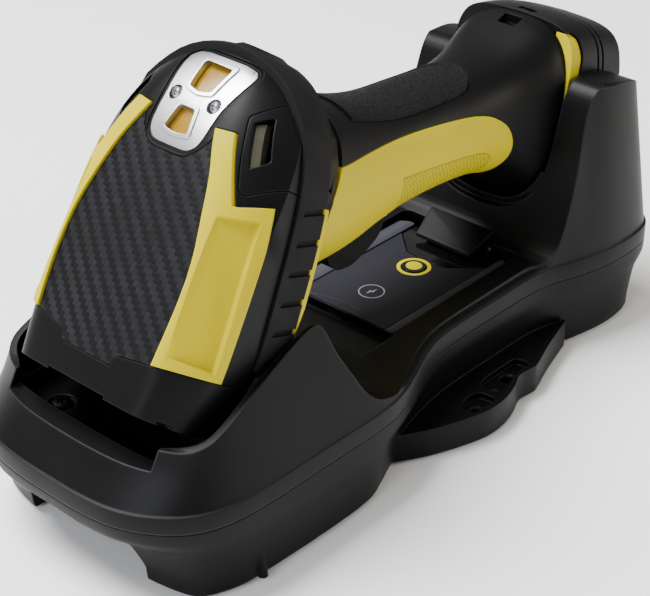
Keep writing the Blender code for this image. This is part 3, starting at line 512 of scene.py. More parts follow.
def woundCopper(name, s):
    # enamelled wire wound flat: rings 0.8 mm apart round the coil's middle
    made, tree, shader, place = newMaterial(name, {"Metallic": 1.0})
    centre = addNode(tree, "ShaderNodeMapping", {"Location": [-c * mm for c in s["centre"]]},
                     {"Vector": place})
    far = addNode(tree, "ShaderNodeVectorMath", {"operation": "LENGTH"}, {0: centre.outputs["Vector"]})
    turns = addNode(tree, "ShaderNodeMath", {"operation": "MULTIPLY", 1: math.tau / (0.8 * mm)},
                    {0: far.outputs["Value"]})
    wave = addNode(tree, "ShaderNodeMath", {"operation": "SINE"}, {0: turns.outputs["Value"]})
    part = addNode(tree, "ShaderNodeMapRange", {"From Min": -1.0}, {"Value": wave.outputs["Value"]})
    # the turns' crests are painted lighter and the grooves between them darker, with the same wave as the
    # relief: painted highlight and painted shade
    tone = addNode(tree, "ShaderNodeMix", {"data_type": "RGBA", 6: toLinear("#6b3418"),
                                           7: toLinear("#c4794a")},
                   {0: part.outputs["Result"]})
    part = part.outputs["Result"]
    dress(tree, shader, tone.outputs[2], part, (0.5, 0.28), part, (0.6, 0.2))
    return made


headTilt = 54.7   # the barrel points this far below the horizontal

print("materials")
# each rim colour below is the painted edge highlight that mouldedPlastic mixes in along the edges
blackAbs = mouldedPlastic("mouldedBlackAbs", {
    "dark": "#070708", "light": "#0b0b0c", "rim": "#3a3a42", "rough": (0.36, 0.46), "grain": 0.45,
    "depth": 0.05, "edge": 0.9, "edgeHighlightShare": 0.5})
blackHead = mouldedPlastic("mouldedBlackPcAbs", {
    "dark": "#060606", "light": "#0a0a0b", "rim": "#28282c", "rough": (0.40, 0.50), "grain": 0.4,
    "depth": 0.05, "edge": 0.5, "edgeHighlightShare": 0.4})
# the lower shell's black is darker than the upper shell's: painted shade, for the ear trays that lie in the
# body's shadow
paintedShadeTrayAbs = mouldedPlastic("mouldedBlackAbsTrayPaintedShade", {
    "dark": "#040405", "light": "#070708", "rim": "#2c2c32", "rough": (0.38, 0.5), "grain": 0.45,
    "depth": 0.05, "edge": 0.6, "edgeHighlightShare": 0.5})
yellowPc = mouldedPlastic("mouldedYellowPolycarbonate", {
    "dark": "#b0a000", "light": "#bcac00", "rim": "#d0c014", "rough": (0.42, 0.5), "grain": 0.35,
    "depth": 0.035, "edge": 0.7, "edgeHighlightShare": 0.6, "patch": 30})
labelFilm = mouldedPlastic("printedPolyesterFilm", {
    "dark": "#232328", "light": "#292930", "rim": "#3c3c44", "rough": (0.42, 0.5), "grain": 0.3,
    "depth": 0.02, "edge": 0.2, "patch": 40})
greyStrip = mouldedPlastic("mouldedGreyAbs", {
    "dark": "#3a3a42", "light": "#45454d", "rim": "#70707a", "rough": (0.4, 0.5), "grain": 0.4,
    "depth": 0.03, "edge": 0.5, "patch": 25})
glossBlack = mouldedPlastic("polishedBlackAcrylic", {
    "dark": "#0b0b0c", "light": "#111113", "rim": "#2e2e32", "rough": (0.08, 0.14), "grain": 2.0,
    "depth": 0.01, "edge": 0.3, "strength": 0.1, "coat": 0.5})
greyInk = mouldedPlastic("greyScreenInk", {
    "dark": "#84848c", "light": "#92929a", "rim": "#a5a5ab", "rough": (0.5, 0.6), "grain": 0.25,
    "depth": 0.01, "edge": 0.05})
yellowInk = mouldedPlastic("yellowScreenInk", {
    "dark": "#ccc000", "light": "#d8cc00", "rim": "#e8de40", "rough": (0.42, 0.52), "grain": 0.25,
    "depth": 0.01, "edge": 0.05})
cellSleeve = mouldedPlastic("shrinkSleeve", {
    "dark": "#274f86", "light": "#2f5c98", "rim": "#5f87bb", "rough": (0.35, 0.45), "grain": 0.6,
    "depth": 0.02, "edge": 0.4})
ferrite = mouldedPlastic("sinteredFerrite", {
    "dark": "#2c2a29", "light": "#383533", "rim": "#4a4644", "rough": (0.6, 0.75), "grain": 0.3,
    "depth": 0.04, "edge": 0.3})
blackTpe = rubberWithRelief("blackSoftTouchTpe", {
    "dark": "#0b0b0b", "light": "#121213", "rough": (0.6, 0.78), "edge": 0.5, "depth": 0.05,
    "strength": 0.4}, grainHeight)
pebbleTpe = rubberWithRelief("blackPebbledTpe", {
    "dark": "#0c0c0d", "light": "#19191a", "rough": (0.55, 0.75), "edge": 0.4, "depth": 0.14,
    "strength": 0.5}, pebbleHeight)
yellowChevron = rubberWithRelief("yellowChevronTpe", {
    "dark": "#9a8c00", "light": "#b8a800", "rough": (0.42, 0.55), "edge": 0.4, "depth": 0.25,
    "strength": 0.6}, chevronHeight)
twill = wovenTwill("carbonTwillUnderClearcoat", {"tow": 1.6, "warp": "#050506", "weft": "#0f0f10",
                                                 "sheenTow": "#1f1f22"})
plateMetal = satinMetal("satinAnodisedAluminium", {
    "dark": "#bdbdc1", "light": "#e6e6ea", "rough": (0.26, 0.4), "line": 0.5,
    "stretch": (1.0, 6.0, 1.0), "edge": 0.35})
screwSteel = satinMetal("zincPlatedSteel", {
    "dark": "#a4a4a8", "light": "#d6d6da", "rough": (0.2, 0.34), "line": 0.4,
    "stretch": (1.0, 1.0, 1.0), "edge": 0.15})
amberClear = clearPlastic("amberAcrylic", {"dark": "#7a5a00", "light": "#a88208", "clear": 0.15,
                                           "milk": 0.2, "rough": 0.16, "cloud": 6})
smokeLens = clearPlastic("smokedPolycarbonateLens", {"dark": "#35342a", "light": "#545142", "clear": 0.2,
                                                     "milk": 0.1, "rough": 0.18, "cloud": 7})
windowGlass = clearPlastic("coatedScanWindow", {"dark": "#34363a", "light": "#4a4d52", "clear": 0.85,
                                                "rough": 0.03, "cloud": 25})
board = solderMask("greenSolderMask", {"dark": "#0f4a2c", "mid": "#145534", "track": "#3d7a55"})
cradleCopper = woundCopper("woundCopperCradle", {"centre": (zeroX / mm + 108, 0, 30.8)})
capCopper = woundCopper("woundCopperCap", {"centre": (zeroX / mm + 106.8, 0, 80)})


# ---- cradle ----
cradle = {
    "seam": 28.4, "bandTop": 34.7, "bandStep": 0.8, "floor": 1.6, "wall": 2.4, "lean": 0.32,
    "waist": 36.0, "waistRound": 2.6, "label": 33.4, "pocketFloor": 33.4, "pocketHalf": 47.0,
    "pocketTopHalf": 38.4, "lip": 44.6, "lipHalf": 31.2, "horn": 97.0,
    # the U of the saddle, one side, and the tighter U of the thin lip in front of it
    "lipEdge": [(25.2, 80), (24.6, 67.8), (22.4, 60.8), (19, 55.7), (14.6, 52.1), (9, 49.9), (0, 49)],
    "saddle": [(26.4, 80), (25.6, 66.8), (23.4, 58.4), (20, 52.2), (15.3, 47.8), (9.3, 45.1), (0, 44.2)],
    "towerDraft": 0.10, "lipFace": 77.4, "lipBack": 79.6, "tunnelTop": 24.4, "tunnelHalf": 26.0, "steps": 5,
    # plan outlines, one side: (x, half width) at the rim and on the ground
    "rim": [(-127, 0), (-126.8, 13), (-124.9, 26), (-119.8, 36.8), (-111.6, 45.6), (-101, 50),
            (-86, 51.5), (-60, 51.6), (-36, 51.5), (-24, 49.6), (-13, 45.6), (-3, 41.2), (8, 38),
            (22, 37), (42, 36.9), (60, 37), (71, 38.8), (83, 42.6), (97, 45.4), (112, 45.4),
            (122, 42.6), (127.6, 35), (129.6, 20), (130, 0)],
    "base": [(-112.6, 0), (-112.6, 13), (-112.2, 26), (-110, 38), (-106.6, 44), (-97, 48.2), (-86, 49.4),
             (-60, 50.2), (-41, 49.6), (-31, 46.2), (-22, 42.4), (-8, 38.6), (8, 36), (22, 35.2),
             (42, 35.1), (60, 35.4), (71, 37.4), (83, 41.2), (97, 43.6), (108, 43.4), (116, 40.6),
             (120.4, 34), (121.8, 20), (122.2, 0)],
    # how far the lower shell has swung out from the ground outline to the rim: (height, share)
    "flare": [(1.6, 0.0), (2.6, 0.06), (7, 0.10), (16, 0.34), (19.4, 0.52), (20.4, 0.64),
              (23.5, 0.93), (25, 0.985), (28.4, 1.0)],
}


def ease(share):
    share = min(max(share, 0), 1)
    return share * share * (3 - 2 * share)


def planOutline(half, shrink):
    side = smoothRun(half, cradle["steps"])
    ring = [(x, -y) for x, y in side] + [(x, y) for x, y in reversed(side[1:-1])]
    return movedIn(ring, shrink)


def cradleForm(shrink, low):
    c = cradle
    levels = [low, c["bandTop"] - 0.4 - shrink, c["bandTop"] - shrink, c["bandTop"] - shrink + 0.02,
              35.2, 35.7, 36.1, 39, 44, 50, 57, 64, 72, 80, 88, c["horn"] + 3]
    rings = []
    for k, z in enumerate(levels):
        ring = []
        above = k >= 3
        for x, y in planOutline(c["rim"], shrink + (c["bandStep"] if above else 0.15 if k == 2 else 0.0)):
            lift = max(z - c["bandTop"], 0) if above else 0.0
            tower = min(max((x - 66) / 18, 0), 1) * lift * c["towerDraft"]
            nose = ease((-x - 18) / 22) * min(lift, 40) * c["lean"]
            middle = ease((x + 27) / 9) * ease((70 - x) / 9)
            shoulder = middle * c["waistRound"] * min(lift / 1.3, 1) ** 2
            across = math.copysign(max(abs(y) - tower - nose - shoulder, 0.02 * abs(y)), y)
            back = 0.12 * lift * min(max((x - 90) / 37, 0), 1)
            fore = min(0.9 * lift, 12) * min(max((-x - 100) / 27, 0), 1)
            ring.append((x - back + fore, across, z))
        rings.append(ring)
    d = shrink
    crest = smoothRun([(-106.3, 51 - d), (-96, 55.2 - d), (-85, 59.9 - d), (-70, 65.4 - d), (-60, 68.4 - d),
                       (-54.6 - d, 69.2 - d), (-51.6 - d, 67.6 - d), (-48.6 - d, 58.6 - d),
                       (-44.6 - d, 50.2 - d), (-41 - d, 43.2 - d), (-36 - d, 38.4 - d),
                       (-28 - d, c["waist"] - d)], 4)
    tower = smoothRun([(70, 39 - d), (74 + d, 45 - d), (80.6 + d, 68 - d), (85 + d, 86 - d),
                       (88.6 + d, 93.6 - d),
                       (94, c["horn"] - 0.8 - d), (104, c["horn"] - 2.2 - d), (112 - d, 92.4 - d),
                       (118 - d, 88.6 - d), (123, 86.4 - d)], 4)
    skyline = [(-140, low - 5), (-140, 48 - d), (-108, 50.6 - d)] + crest + [(66, c["waist"] + 1 - d)]
    skyline += tower + [(140, 84 - d), (140, low - 5)]
    shoulders = smoothRun([(-60, 74), (-44 + d, 84), (-41.6 + d, 89), (-39.8 + d, 93.4),
                           (-36.6 + d, 96.6 - d), (-31, 97.6 - d)], 4)
    front = [(-60, low - 5)] + shoulders + [(-y, z) for y, z in reversed(shoulders)] + [(60, low - 5)]
    return keep(loft(rings), prism(skyline, -70, 70, sideView), prism(front, -150, 150, frontView))


def pocketForm(grow):
    c = cradle
    rings = []
    for z, half in ((c["pocketFloor"] - grow, c["pocketHalf"]), (50, c["pocketHalf"] - 4.6),
                    (68, c["pocketTopHalf"]), (120, c["pocketTopHalf"])):
        h = half + grow
        side = [(-111 - grow, 0), (-110.6 - grow, -18), (-109.4 - grow, -30), (-107.6 - grow, -h + 9),
                (-103 - grow * 0.5, -h + 2.4), (-96, -h), (-80, -h), (-60, -h), (-44 + grow, -h),
                (-36 + grow, -h + 4), (-31 + grow, -h + 14), (-28 + grow, -18), (-27.4 + grow, 0)]
        run = smoothRun(side, 3)
        rings.append([(x, y, z) for x, y in run] + [(x, -y, z) for x, y in reversed(run[1:-1])])
    lip = c["lipHalf"] + grow
    return join(loft(rings), block((-150, -100), (-lip, lip), (c["lip"] - grow, 120)))


def saddleForm(grow, edge="saddle", start=None):
    side = smoothRun(cradle[edge], 4)
    top = (side[0][0], 130)
    outline = [top] + side + [(-y, z) for y, z in reversed([top] + side[:-1])]
    return prism(movedIn(outline, -grow), cradle["lipBack"] - grow if start is None else start,
                 123.4 + grow, frontView)


def upperShell():
    c = cradle
    outer = cut(cradleForm(0, c["seam"] + gap), pocketForm(0), saddleForm(0), saddleForm(0, "lipEdge", 60))
    inner = cut(cradleForm(c["wall"], c["seam"] - 6), pocketForm(c["wall"]), saddleForm(c["wall"]),
                saddleForm(c["wall"], "lipEdge", 60))
    shell = cut(outer, inner)
    seat = rounded([(-2, -25.4), (66.4, -25.4), (66.4, 25.4), (-2, 25.4)], 2.5)
    shell = cut(shell, prism(seat, c["label"] - 1.6, 60, planView))
    holes = []
    for y in (-27, 27):
        holes += [rod((-98, y, 20), (-98, y, 60), 2.1), rod((-98, y, c["pocketFloor"] - 1), (-98, y, 60),
                                                            4.6)]
    holes.append(rod((40.2, 0, 20), (40.2, 0, 60), 6.1))
    holes.append(block((55.2, 68), (-14.6, 14.6), (20, 41)))
    shell = cut(shell, *holes)
    # in front of the saddle a ramp falls away, so that the saddle ends in a thin lip
    ramp = smoothRun([(62, 35.8), (68, 37.2), (73, 39.6), (c["lipFace"] - 1.6, 42.6), (c["lipFace"], 45.4)],
                     4)
    ramp = prism(ramp + [(c["lipFace"], 130), (62, 130)], -60, 60, sideView)
    shell = cut(shell, keep(saddleForm(2.6, "lipEdge", 60), ramp))
    # a shallow dish slopes from the nose down to the label
    dish = smoothRun([(-24, 37), (-16, 35.4), (-8, 34.4), (-2.2, 33.8)], 4) + [(-2.2, 60), (-24, 60)]
    shell = cut(shell, prism(dish, -27, 27, sideView))
    # a slit and a small lug behind the crest of each wall
    for side in (-1, 1):
        y = side * 42.6
        slit = prism([(-50.5, 45), (-46.4, 45), (-50.4, 60), (-52.2, 60)], y - side * 6, y - side * 2.2,
                     sideView)
        shell = cut(shell, slit)
        lug = prism([(-46.2, 45.6), (-42.6, 45.6), (-40.6, 40.2), (-43.4, 38.6)], side * 36, side * 40.6,
                    sideView)
        shell = join(shell, lug)
    return shell


def lowerShell():
    c = cradle

    def form(shrink, low, high):
        top, base = planOutline(c["rim"], shrink), planOutline(c["base"], shrink)
        rings = []
        for z, share in [(low, 0.0)] + c["flare"][1:-1] + [(high, 1.0)]:
            inset = 0.6 if z == low and not shrink else 0.0
            rings.append([(bx + (tx - bx) * share, (by + (ty - by) * share) * (1 - inset / 50), z)
                          for (bx, by), (tx, ty) in zip(base, top)])
        return loft(rings)

    shell = form(0, c["floor"], c["seam"])
    shell = cut(shell, form(c["wall"], c["floor"] + c["wall"], c["seam"] + 5))
    h, top = c["tunnelHalf"], c["tunnelTop"]
    arch = [(-h, -5)] + smoothRun([(-h, 9), (-h + 2.6, 17), (-h + 8, 22), (-h + 14, top - 1.4), (-9, top),
                                   (0, top + 0.6), (9, top), (h - 14, top - 1.4), (h - 8, 22),
                                   (h - 2.6, 17), (h, 9)], 4) + [(h, -5)]
    shell = cut(shell, prism(arch, -140, -95, frontView))
    shell = join(shell, block((-95.3, -93), (-27, 27), (c["floor"] + 0.5, 25)))
    shell = cut(shell, block((-100, -88), (-6.3, 6.3), (7.7, 16.3)))
    for side in (-1, 1):
        shell = join(shell, earTray(side))
    # a short upright rib on each flank, and the latch slot at one front corner
    for side in (-1, 1):
        shell = join(shell, turned([(0, 0), (1.6, 0), (1.1, 5), (0.3, 8.6), (0, 9)],
                                   (-88.4, side * 49.6, 1.8), steps=20))
    shell = cut(shell, block((-130, -108), (25.2, 30), (21.4, 32)))
    return shell


ear = {"top": 12.0, "padFloor": 8.8, "rimWidth": 1.6,
       "outline": [(-22, 40), (-8, 48.4), (10, 54.8), (21, 55.4), (30, 53.2), (37, 50.4), (44, 51),
                   (47.4, 50.4), (60, 46), (76, 41.4)],
       "holes": [(36, 46, 2.4), (26, 47.6, 1.5), (14, 49.4, 1.5)]}


def earTray(side):
    outer = smoothRun(ear["outline"], 5)
    outline = outer + [(76, 30), (-22, 30)]
    plate = prism([(x, side * y) for x, y in outline], cradle["floor"], ear["top"], planView)
    # the flat of the tray lies just below its rim line
    flat = [(x, y - ear["rimWidth"]) for x, y in outer] + [(76, 20), (-22, 20)]
    plate = cut(plate, prism([(x, side * y) for x, y in flat], ear["top"] - 0.9, 40, planView))
    for pad in ([(8.4, 46.4), (16.5, 44.4), (20.6, 45.6), (21.4, 52.6), (9, 52.2)],
                [(23.4, 43.6), (28, 41.8), (45.6, 41.8), (46.2, 48), (37, 48.4), (29, 50.8), (23.6, 51.8)]):
        pad = rounded(pad, 2.4)
        plate = cut(plate, prism([(x, side * y) for x, y in pad], ear["padFloor"], 40, planView))
    for x, y, r in ear["holes"]:
        plate = cut(plate, rod((x, side * y, -5), (x, side * y, 40), r),
                    turned([(0, 0), (r, 0), (r + 1, 1.0), (r + 1, 9), (0, 9)],
                           (x, side * y, ear["padFloor"] - 0.6)))
    return plate


print("cradle shells")
finish(upperShell(), "cradleUpper", blackAbs, "cradle", ["cradle_upper_shell"])
finish(lowerShell(), "cradleLower", paintedShadeTrayAbs, "cradle", ["cradle_lower_shell"])


# ---- scanner head ----
# head coordinates: u runs down the barrel to the nose, v to the side, w out of the crown
head = {
    "origin": (-71.1, 0.0, 123.6), "skin": 3.2, "nose": 76.0,
    "bandTop": -18.2, "bandBottom": -31.5, "bandSlope": -0.22, "bandProud": 0.9,
    "guardBottom": -10.2, "guardSlope": -0.13, "guardProud": 0.9,
    "stations": [-31, -30.4, -29.5, -28.2, -26.4, -24.2, -21.4, -18, -14.5, -11, -7, -3, 1, 5, 10, 16, 23,
                 31,
                 39, 47, 54, 60, 66, 71, 76],
    "half": [(-31, 6), (-30, 13), (-27, 20.4), (-22, 26.4), (-14, 31.6), (-4, 34.8), (8, 36.4),
             (30, 36.8), (56, 36.4), (66, 35.4), (76, 34)],
    "crown": [(-31, -16), (-30, -12.6), (-28, -10.2), (-24.6, -7.6), (-20, -5.2), (-16, -3.5),
              (-12.4, -2.2), (-6, -0.8), (0, 0), (20, 0.6), (45, 0.2), (60, -0.6), (76, -1.8)],
    "shoulder": [(-31, 3), (-27, 11), (-20, 15), (-8, 18), (4, 21), (25, 25), (45, 25.4), (62, 25),
                 (76, 24)],
    "drop": [(-31, 6), (-22, 10), (-10, 12), (10, 12.4), (60, 12.4), (76, 12)],
    "under": [(-31, -40), (-28, -46), (-20, -50), (0, -51), (60, -47), (76, -44)],
    "guardIn": [(-7.2, 13), (-1, 15.6), (6, 18.6), (16.5, 21.6), (30, 24.6), (45, 25.2), (64, 24)],
    "guardOut": [(64, 60), (5.2, 60), (7, 36), (10.6, 29.4), (11, 28), (-8, 19.6)],
    # the sunk facet of a guard: its section near the crown and near the nose
    "facet": [[(26.0, -1.0), (27.0, -3.0), (33.4, -9.4), (34.7, -8.8), (42, -4), (42, 12), (26.0, 12)],
              [(27.8, -1.6), (29.2, -4.4), (35.0, -14.4), (36.5, -14.2), (44, -8), (44, 12), (27.8, 12)]],
    "noseEdge": [(66.4, 0), (66.4, 10.4), (63, 11.6), (61.2, 22.6), (58.6, 40)],
}


def headMatrix():
    t = math.radians(headTilt)
    u, v = Vector((-math.cos(t), 0, -math.sin(t))), Vector((0, -1, 0))
    turn = Matrix((u, v, u.cross(v))).transposed().to_4x4()
    return Matrix.Translation(head["origin"]) @ turn


def seated(piece):
    piece.data.transform(headMatrix())
    return piece


def headRing(u, inset):
    h = head
    half = readOff(h["half"], u) - inset
    crown = readOff(h["crown"], u) - inset
    shoulder = min(readOff(h["shoulder"], u) - 0.45 * inset, half - 1)
    drop = readOff(h["drop"], u) - 0.4 * inset
    under = readOff(h["under"], u) + inset
    side = [(0, crown), (shoulder * 0.35, crown - 0.1), (shoulder * 0.7, crown - 0.5),
            (shoulder, crown - 1.3),
            (shoulder * 0.62 + half * 0.38, crown - 1.3 - drop * 0.24),
            (shoulder * 0.25 + half * 0.75, crown - 1.3 - drop * 0.62),
            (half, crown - 1.3 - drop), (half, (crown - 1.3 - drop + under + 9) / 2), (half, under + 9),
            (max(half - 2.6, 0.8 * half), under + 3), (max(half - 8, 0.5 * half), under), (0, under)]
    run = smoothRun(side[:7], 3)[:-1] + side[6:9] + smoothRun(side[8:], 3)[1:]
    return [(u, v, w) for v, w in run] + [(u, -v, w) for v, w in reversed(run[1:-1])]


def headForm(inset, first=None, last=None, rear=1.0):
    stations = head["stations"]
    low = stations[0] + inset if first is None else first
    high = stations[-1] if last is None else last
    rings = []
    for u in [low] + [s for s in stations if low + 0.5 < s < high - 0.8] + [high]:
        squeeze = min(u - inset * 0.35, stations[-1]) if u < 0 else u
        ring = headRing(max(squeeze, stations[0]), inset)
        rings.append([(u * rear if u < 0 else u, v, w) for _, v, w in ring])
    return loft(rings)


# how far down through the head a cut reaches: through the crown only, or past the flanks too
crownSpan, flankSpan = (-16, 20), (-40, 20)


def overHead(outline, low=-70, high=20):
    return prism(outline, low, high, lambda u, v, w: (u, v, w))


def acrossHead(outline):
    return prism(outline, -66, 66, lambda u, w, v: (u, v, w))


def layer(region, outer=0.0, inner=3.2, rear=1.0):
    # the skin of the head between two depths, inside a region
    piece = keep(headForm(outer, head["stations"][0] + outer, rear=rear), region)
    return cut(piece, headForm(inner, head["stations"][0] + inner, head["nose"] + 5))


def slopePlane(level, slope, side):
    far = 64 if side > 0 else -94
    outline = [(-72, level - slope * 72), (120, level + slope * 120), (120, far), (-72, far)]
    return acrossHead(outline)


def noseRegion(extra, forward):
    edge = [(u + extra, -v) for u, v in reversed(head["noseEdge"][1:])]
    edge += [(u + extra, v) for u, v in head["noseEdge"]]
    far = 100 if forward else -60
    return edge + [(far, 60), (far, -60)]


def guardRegion(side):
    inner = smoothRun(head["guardIn"], 3)
    return [(u, side * v) for u, v in inner + head["guardOut"]]


def coverRegion():
    half = smoothRun([(4.4, 0), (4.2, 5.2), (2.8, 8.6), (-1.0, 12.2), (-4.6, 13.8)], 3)
    half += smoothRun(head["guardIn"], 3)[3:] + [(72, 23.6)]
    return [(u, -v) for u, v in reversed(half)] + half[1:]


def plateRegion(grow):
    half = [(-27, 7.6), (-26.4, 11.4), (-24.6, 13.2), (-21.6, 13), (-12, 11), (-3, 10.3),
            (0, 9.4), (1.8, 7.4), (2.3, 5)]
    return rounded(movedIn(wholeOf(half), -grow), 1.2, 3)


def buildHead():
    h, g = head, gap / 2
    top = layer(keep(overHead(noseRegion(-g, False)), slopePlane(h["bandTop"] + g, h["bandSlope"], 1)))
    cover = coverRegion()
    twillPiece = keep(copyOf(top), overHead(movedIn(cover, g), *crownSpan))
    finish(seated(twillPiece), "topCover", twill, "scanner", ["top_cover"])
    shell = cut(copyOf(top), overHead(movedIn(cover, -g), *crownSpan))

    for side, name in ((1, "Left"), (-1, "Right")):
        region = guardRegion(side)
        guard = layer(keep(overHead(movedIn(region, g), *flankSpan), overHead(noseRegion(-g, False)),
                           slopePlane(h["guardBottom"] + g, h["guardSlope"], 1)), -h["guardProud"])
        # the lower panel is one flat facet, sunk inside a raised rim
        facet = [[(15.4 - 0.34 * (v - 26) if k == 0 else 56.8, side * v, w) for v, w in ring]
                 for k, ring in enumerate(h["facet"])]
        guard = cut(guard, loft(facet))
        finish(seated(guard), "sideGuard" + name, yellowPc, "scanner", ["side_guard_" + name.lower()])
        hole = keep(overHead(movedIn(region, -g), *flankSpan),
                    slopePlane(h["guardBottom"] - g, h["guardSlope"], 1))
        shell = cut(shell, hole)

    for side, name in ((1, "Left"), (-1, "Right")):
        panel = rounded([(-13.6, 19.4), (-24.0, 26.2), (-22, 60), (0.4, 60), (1.2, 35.6), (7.4, 28.6),
                         (6.6, 26.8)], 0.9, 3)
        panel = [(u, side * v) for u, v in panel]
        slot = [(u, side * v) for u, v in rounded([(-12.4, 21.2), (-16.2, 24.6), (-4, 30), (0.4, 26.2)],
                                                  0.9, 3)]
        lens = [(u, side * v) for u, v in ((-12.2, 21.2), (-13.8, 23.2), (-1.4, 27.9), (0.2, 26.0))]
        piece = keep(copyOf(top), overHead(movedIn(panel, g), *flankSpan),
                     slopePlane(h["bandTop"] + 2 * gap, h["bandSlope"], 1))
        piece = cut(piece, overHead(slot, *flankSpan))
        finish(seated(piece), "sideCover" + name, blackHead, "scanner", ["side_cover_" + name.lower()])
        shell = cut(shell, keep(overHead(movedIn(panel, -g), *flankSpan),
                                slopePlane(h["bandTop"] + gap, h["bandSlope"], 1)))
        light = layer(overHead(movedIn(lens, g), *flankSpan), 1.2, 2.8)
        finish(seated(light), "sideLens" + name, smokeLens, "scanner", ["side_lens_" + name.lower()])
    shell = cut(shell, overHead(plateRegion(gap), *crownSpan))
    # a shallow step frames the plate
    shell = cut(shell, layer(overHead(plateRegion(1.3), *crownSpan), -2.0, 0.45))
    finish(seated(shell), "headFrame", blackHead, "scanner", ["head_frame"])
    bpy.data.objects.remove(top)


band = {"ridges": 6, "first": 4.6, "pitch": 8.9, "slot": 1.9, "lean": -3.6, "depth": 1.1,
        "trim": 2.3, "trimEnds": (2.0, 56.0)}


def rubberBand():
    h, g = head, gap / 2
    strip = [(u, level + h["bandSlope"] * u) for level, ends in
             ((h["bandTop"] - g, (-72, 120)), (h["bandBottom"] + g, (120, -72))) for u in ends]
    strip = acrossHead(strip)
    piece = layer(keep(strip, overHead(noseRegion(-g - 6, False), -42)), -h["bandProud"], rear=1.05)
    for k in range(band["ridges"]):
        u = band["first"] + k * band["pitch"]
        high, low = h["bandTop"] - 3.4 + h["bandSlope"] * u, h["bandBottom"] - 2 + h["bandSlope"] * u
        stroke = [(u, high), (u + band["slot"], high), (u + band["slot"] + band["lean"], low),
                  (u + band["lean"], low)]
        groove = acrossHead(rounded(stroke, 0.6, 3))
        piece = cut(piece, cut(groove, headForm(-h["bandProud"] + band["depth"], -30, 75, rear=1.05)))
    finish(seated(piece), "rubberBand", blackTpe, "scanner", ["rubber_band"])
    # the edge of the yellow lower housing shows below the band
    near, far = band["trimEnds"]
    high, low = h["bandBottom"] - g, h["bandBottom"] - band["trim"]
    trim = acrossHead([(near, high + h["bandSlope"] * near), (far, high + h["bandSlope"] * far),
                       (far, low + h["bandSlope"] * far), (near, low + h["bandSlope"] * near)])
    trim = cut(keep(headForm(-0.3), trim), headForm(2.6, -28, h["nose"] + 5))
    finish(seated(trim), "lowerHousingEdge", yellowPc, "scanner")


def noseBezel():
    h, g = head, gap / 2
    piece = keep(headForm(0), overHead(noseRegion(g, True)))
    tip = h["nose"]
    piece = cut(piece, headForm(h["skin"], 40, tip - h["skin"]),
                block((tip - 8, tip + 10), (-25, 25), (-39, -11)),
                block((tip - 8, tip - 1.6), (-26.6, 26.6), (-40.6, -9.4)))
    # small steps in the lower edge
    for v0, v1, deep in ((-60, -29, 1.1), (-12, 12, 0.9), (29, 60, 1.1)):
        piece = cut(piece, block((tip - deep, tip + 4), (v0, v1), (-12, 10)))
    finish(seated(piece), "noseBezel", blackHead, "scanner", ["nose_bezel"])


plate = {"windows": [[(-23.8, 5.0), (-24.0, -5.0), (-16.2, -3.9), (-15.4, 0), (-16.2, 3.9)],
                     [(-9.2, 2.7), (-9.2, -2.7), (-2.6, -4.1), (-2.0, 0), (-2.6, 4.1)]],
         "screws": [(-12.4, 7.8, "Left"), (-12.4, -7.8, "Right")], "rim": 1.2, "grow": 0.5}


def metalPlate():
    h = head
    aboveBand = slopePlane(h["bandTop"] + 2 * gap, h["bandSlope"], 1)
    region = keep(overHead(plateRegion(0), *crownSpan), copyOf(aboveBand))
    piece = layer(region, 0.25, 1.7)
    rims = []
    for window in plate["windows"]:
        rims.append(layer(overHead(rounded(movedIn(window, -plate["rim"] - plate["grow"]), 1.2, 3),
                                   *crownSpan), -0.25, 0.9))
    piece = join(piece, *rims)
    piece = cut(piece, *[overHead(rounded(movedIn(window, -plate["grow"]), 1.1, 3),
                                  *crownSpan) for window in plate["windows"]])
    for u, v, _ in plate["screws"]:
        ring = [(u + 2.3 * math.cos(math.tau * k / 32),
                 v + 2.3 * math.sin(math.tau * k / 32)) for k in range(32)]
        piece = cut(piece, overHead(ring, *crownSpan))
    finish(seated(piece), "rearPlate", plateMetal, "scanner", ["rear_plate"], sharp=40)
    for u, v, name in plate["screws"]:
        w = readOff(h["crown"], u) - 0.9
        dome = turned([(0, -6), (1.1, -6), (1.1, -1.4), (1.95, -1.3), (2.0, -0.9), (1.75, -0.1),
                       (1.2, 0.45), (0, 0.7)],
                      (u, v, w), steps=36)
        for spread in ((1.15, 0.24), (0.24, 1.15)):
            dome = cut(dome, block((u - spread[0], u + spread[0]), (v - spread[1], v + spread[1]),
                                   (w - 0.5, w + 2)))
        finish(seated(dome), "plateScrew" + name, screwSteel, "scanner", ["plate_screw_" + name.lower()])
    guide = layer(keep(overHead(plateRegion(-1.2), *crownSpan), aboveBand), 1.9, 4.4)
    for u, v, _ in plate["screws"]:
        guide = cut(guide, rod((u, v, -20), (u, v, 10), 2.4))
    finish(seated(guide), "lightGuide", amberClear, "scanner", ["indicator_light_guide"])


print("scanner head")
buildHead()
rubberBand()
noseBezel()
metalPlate()


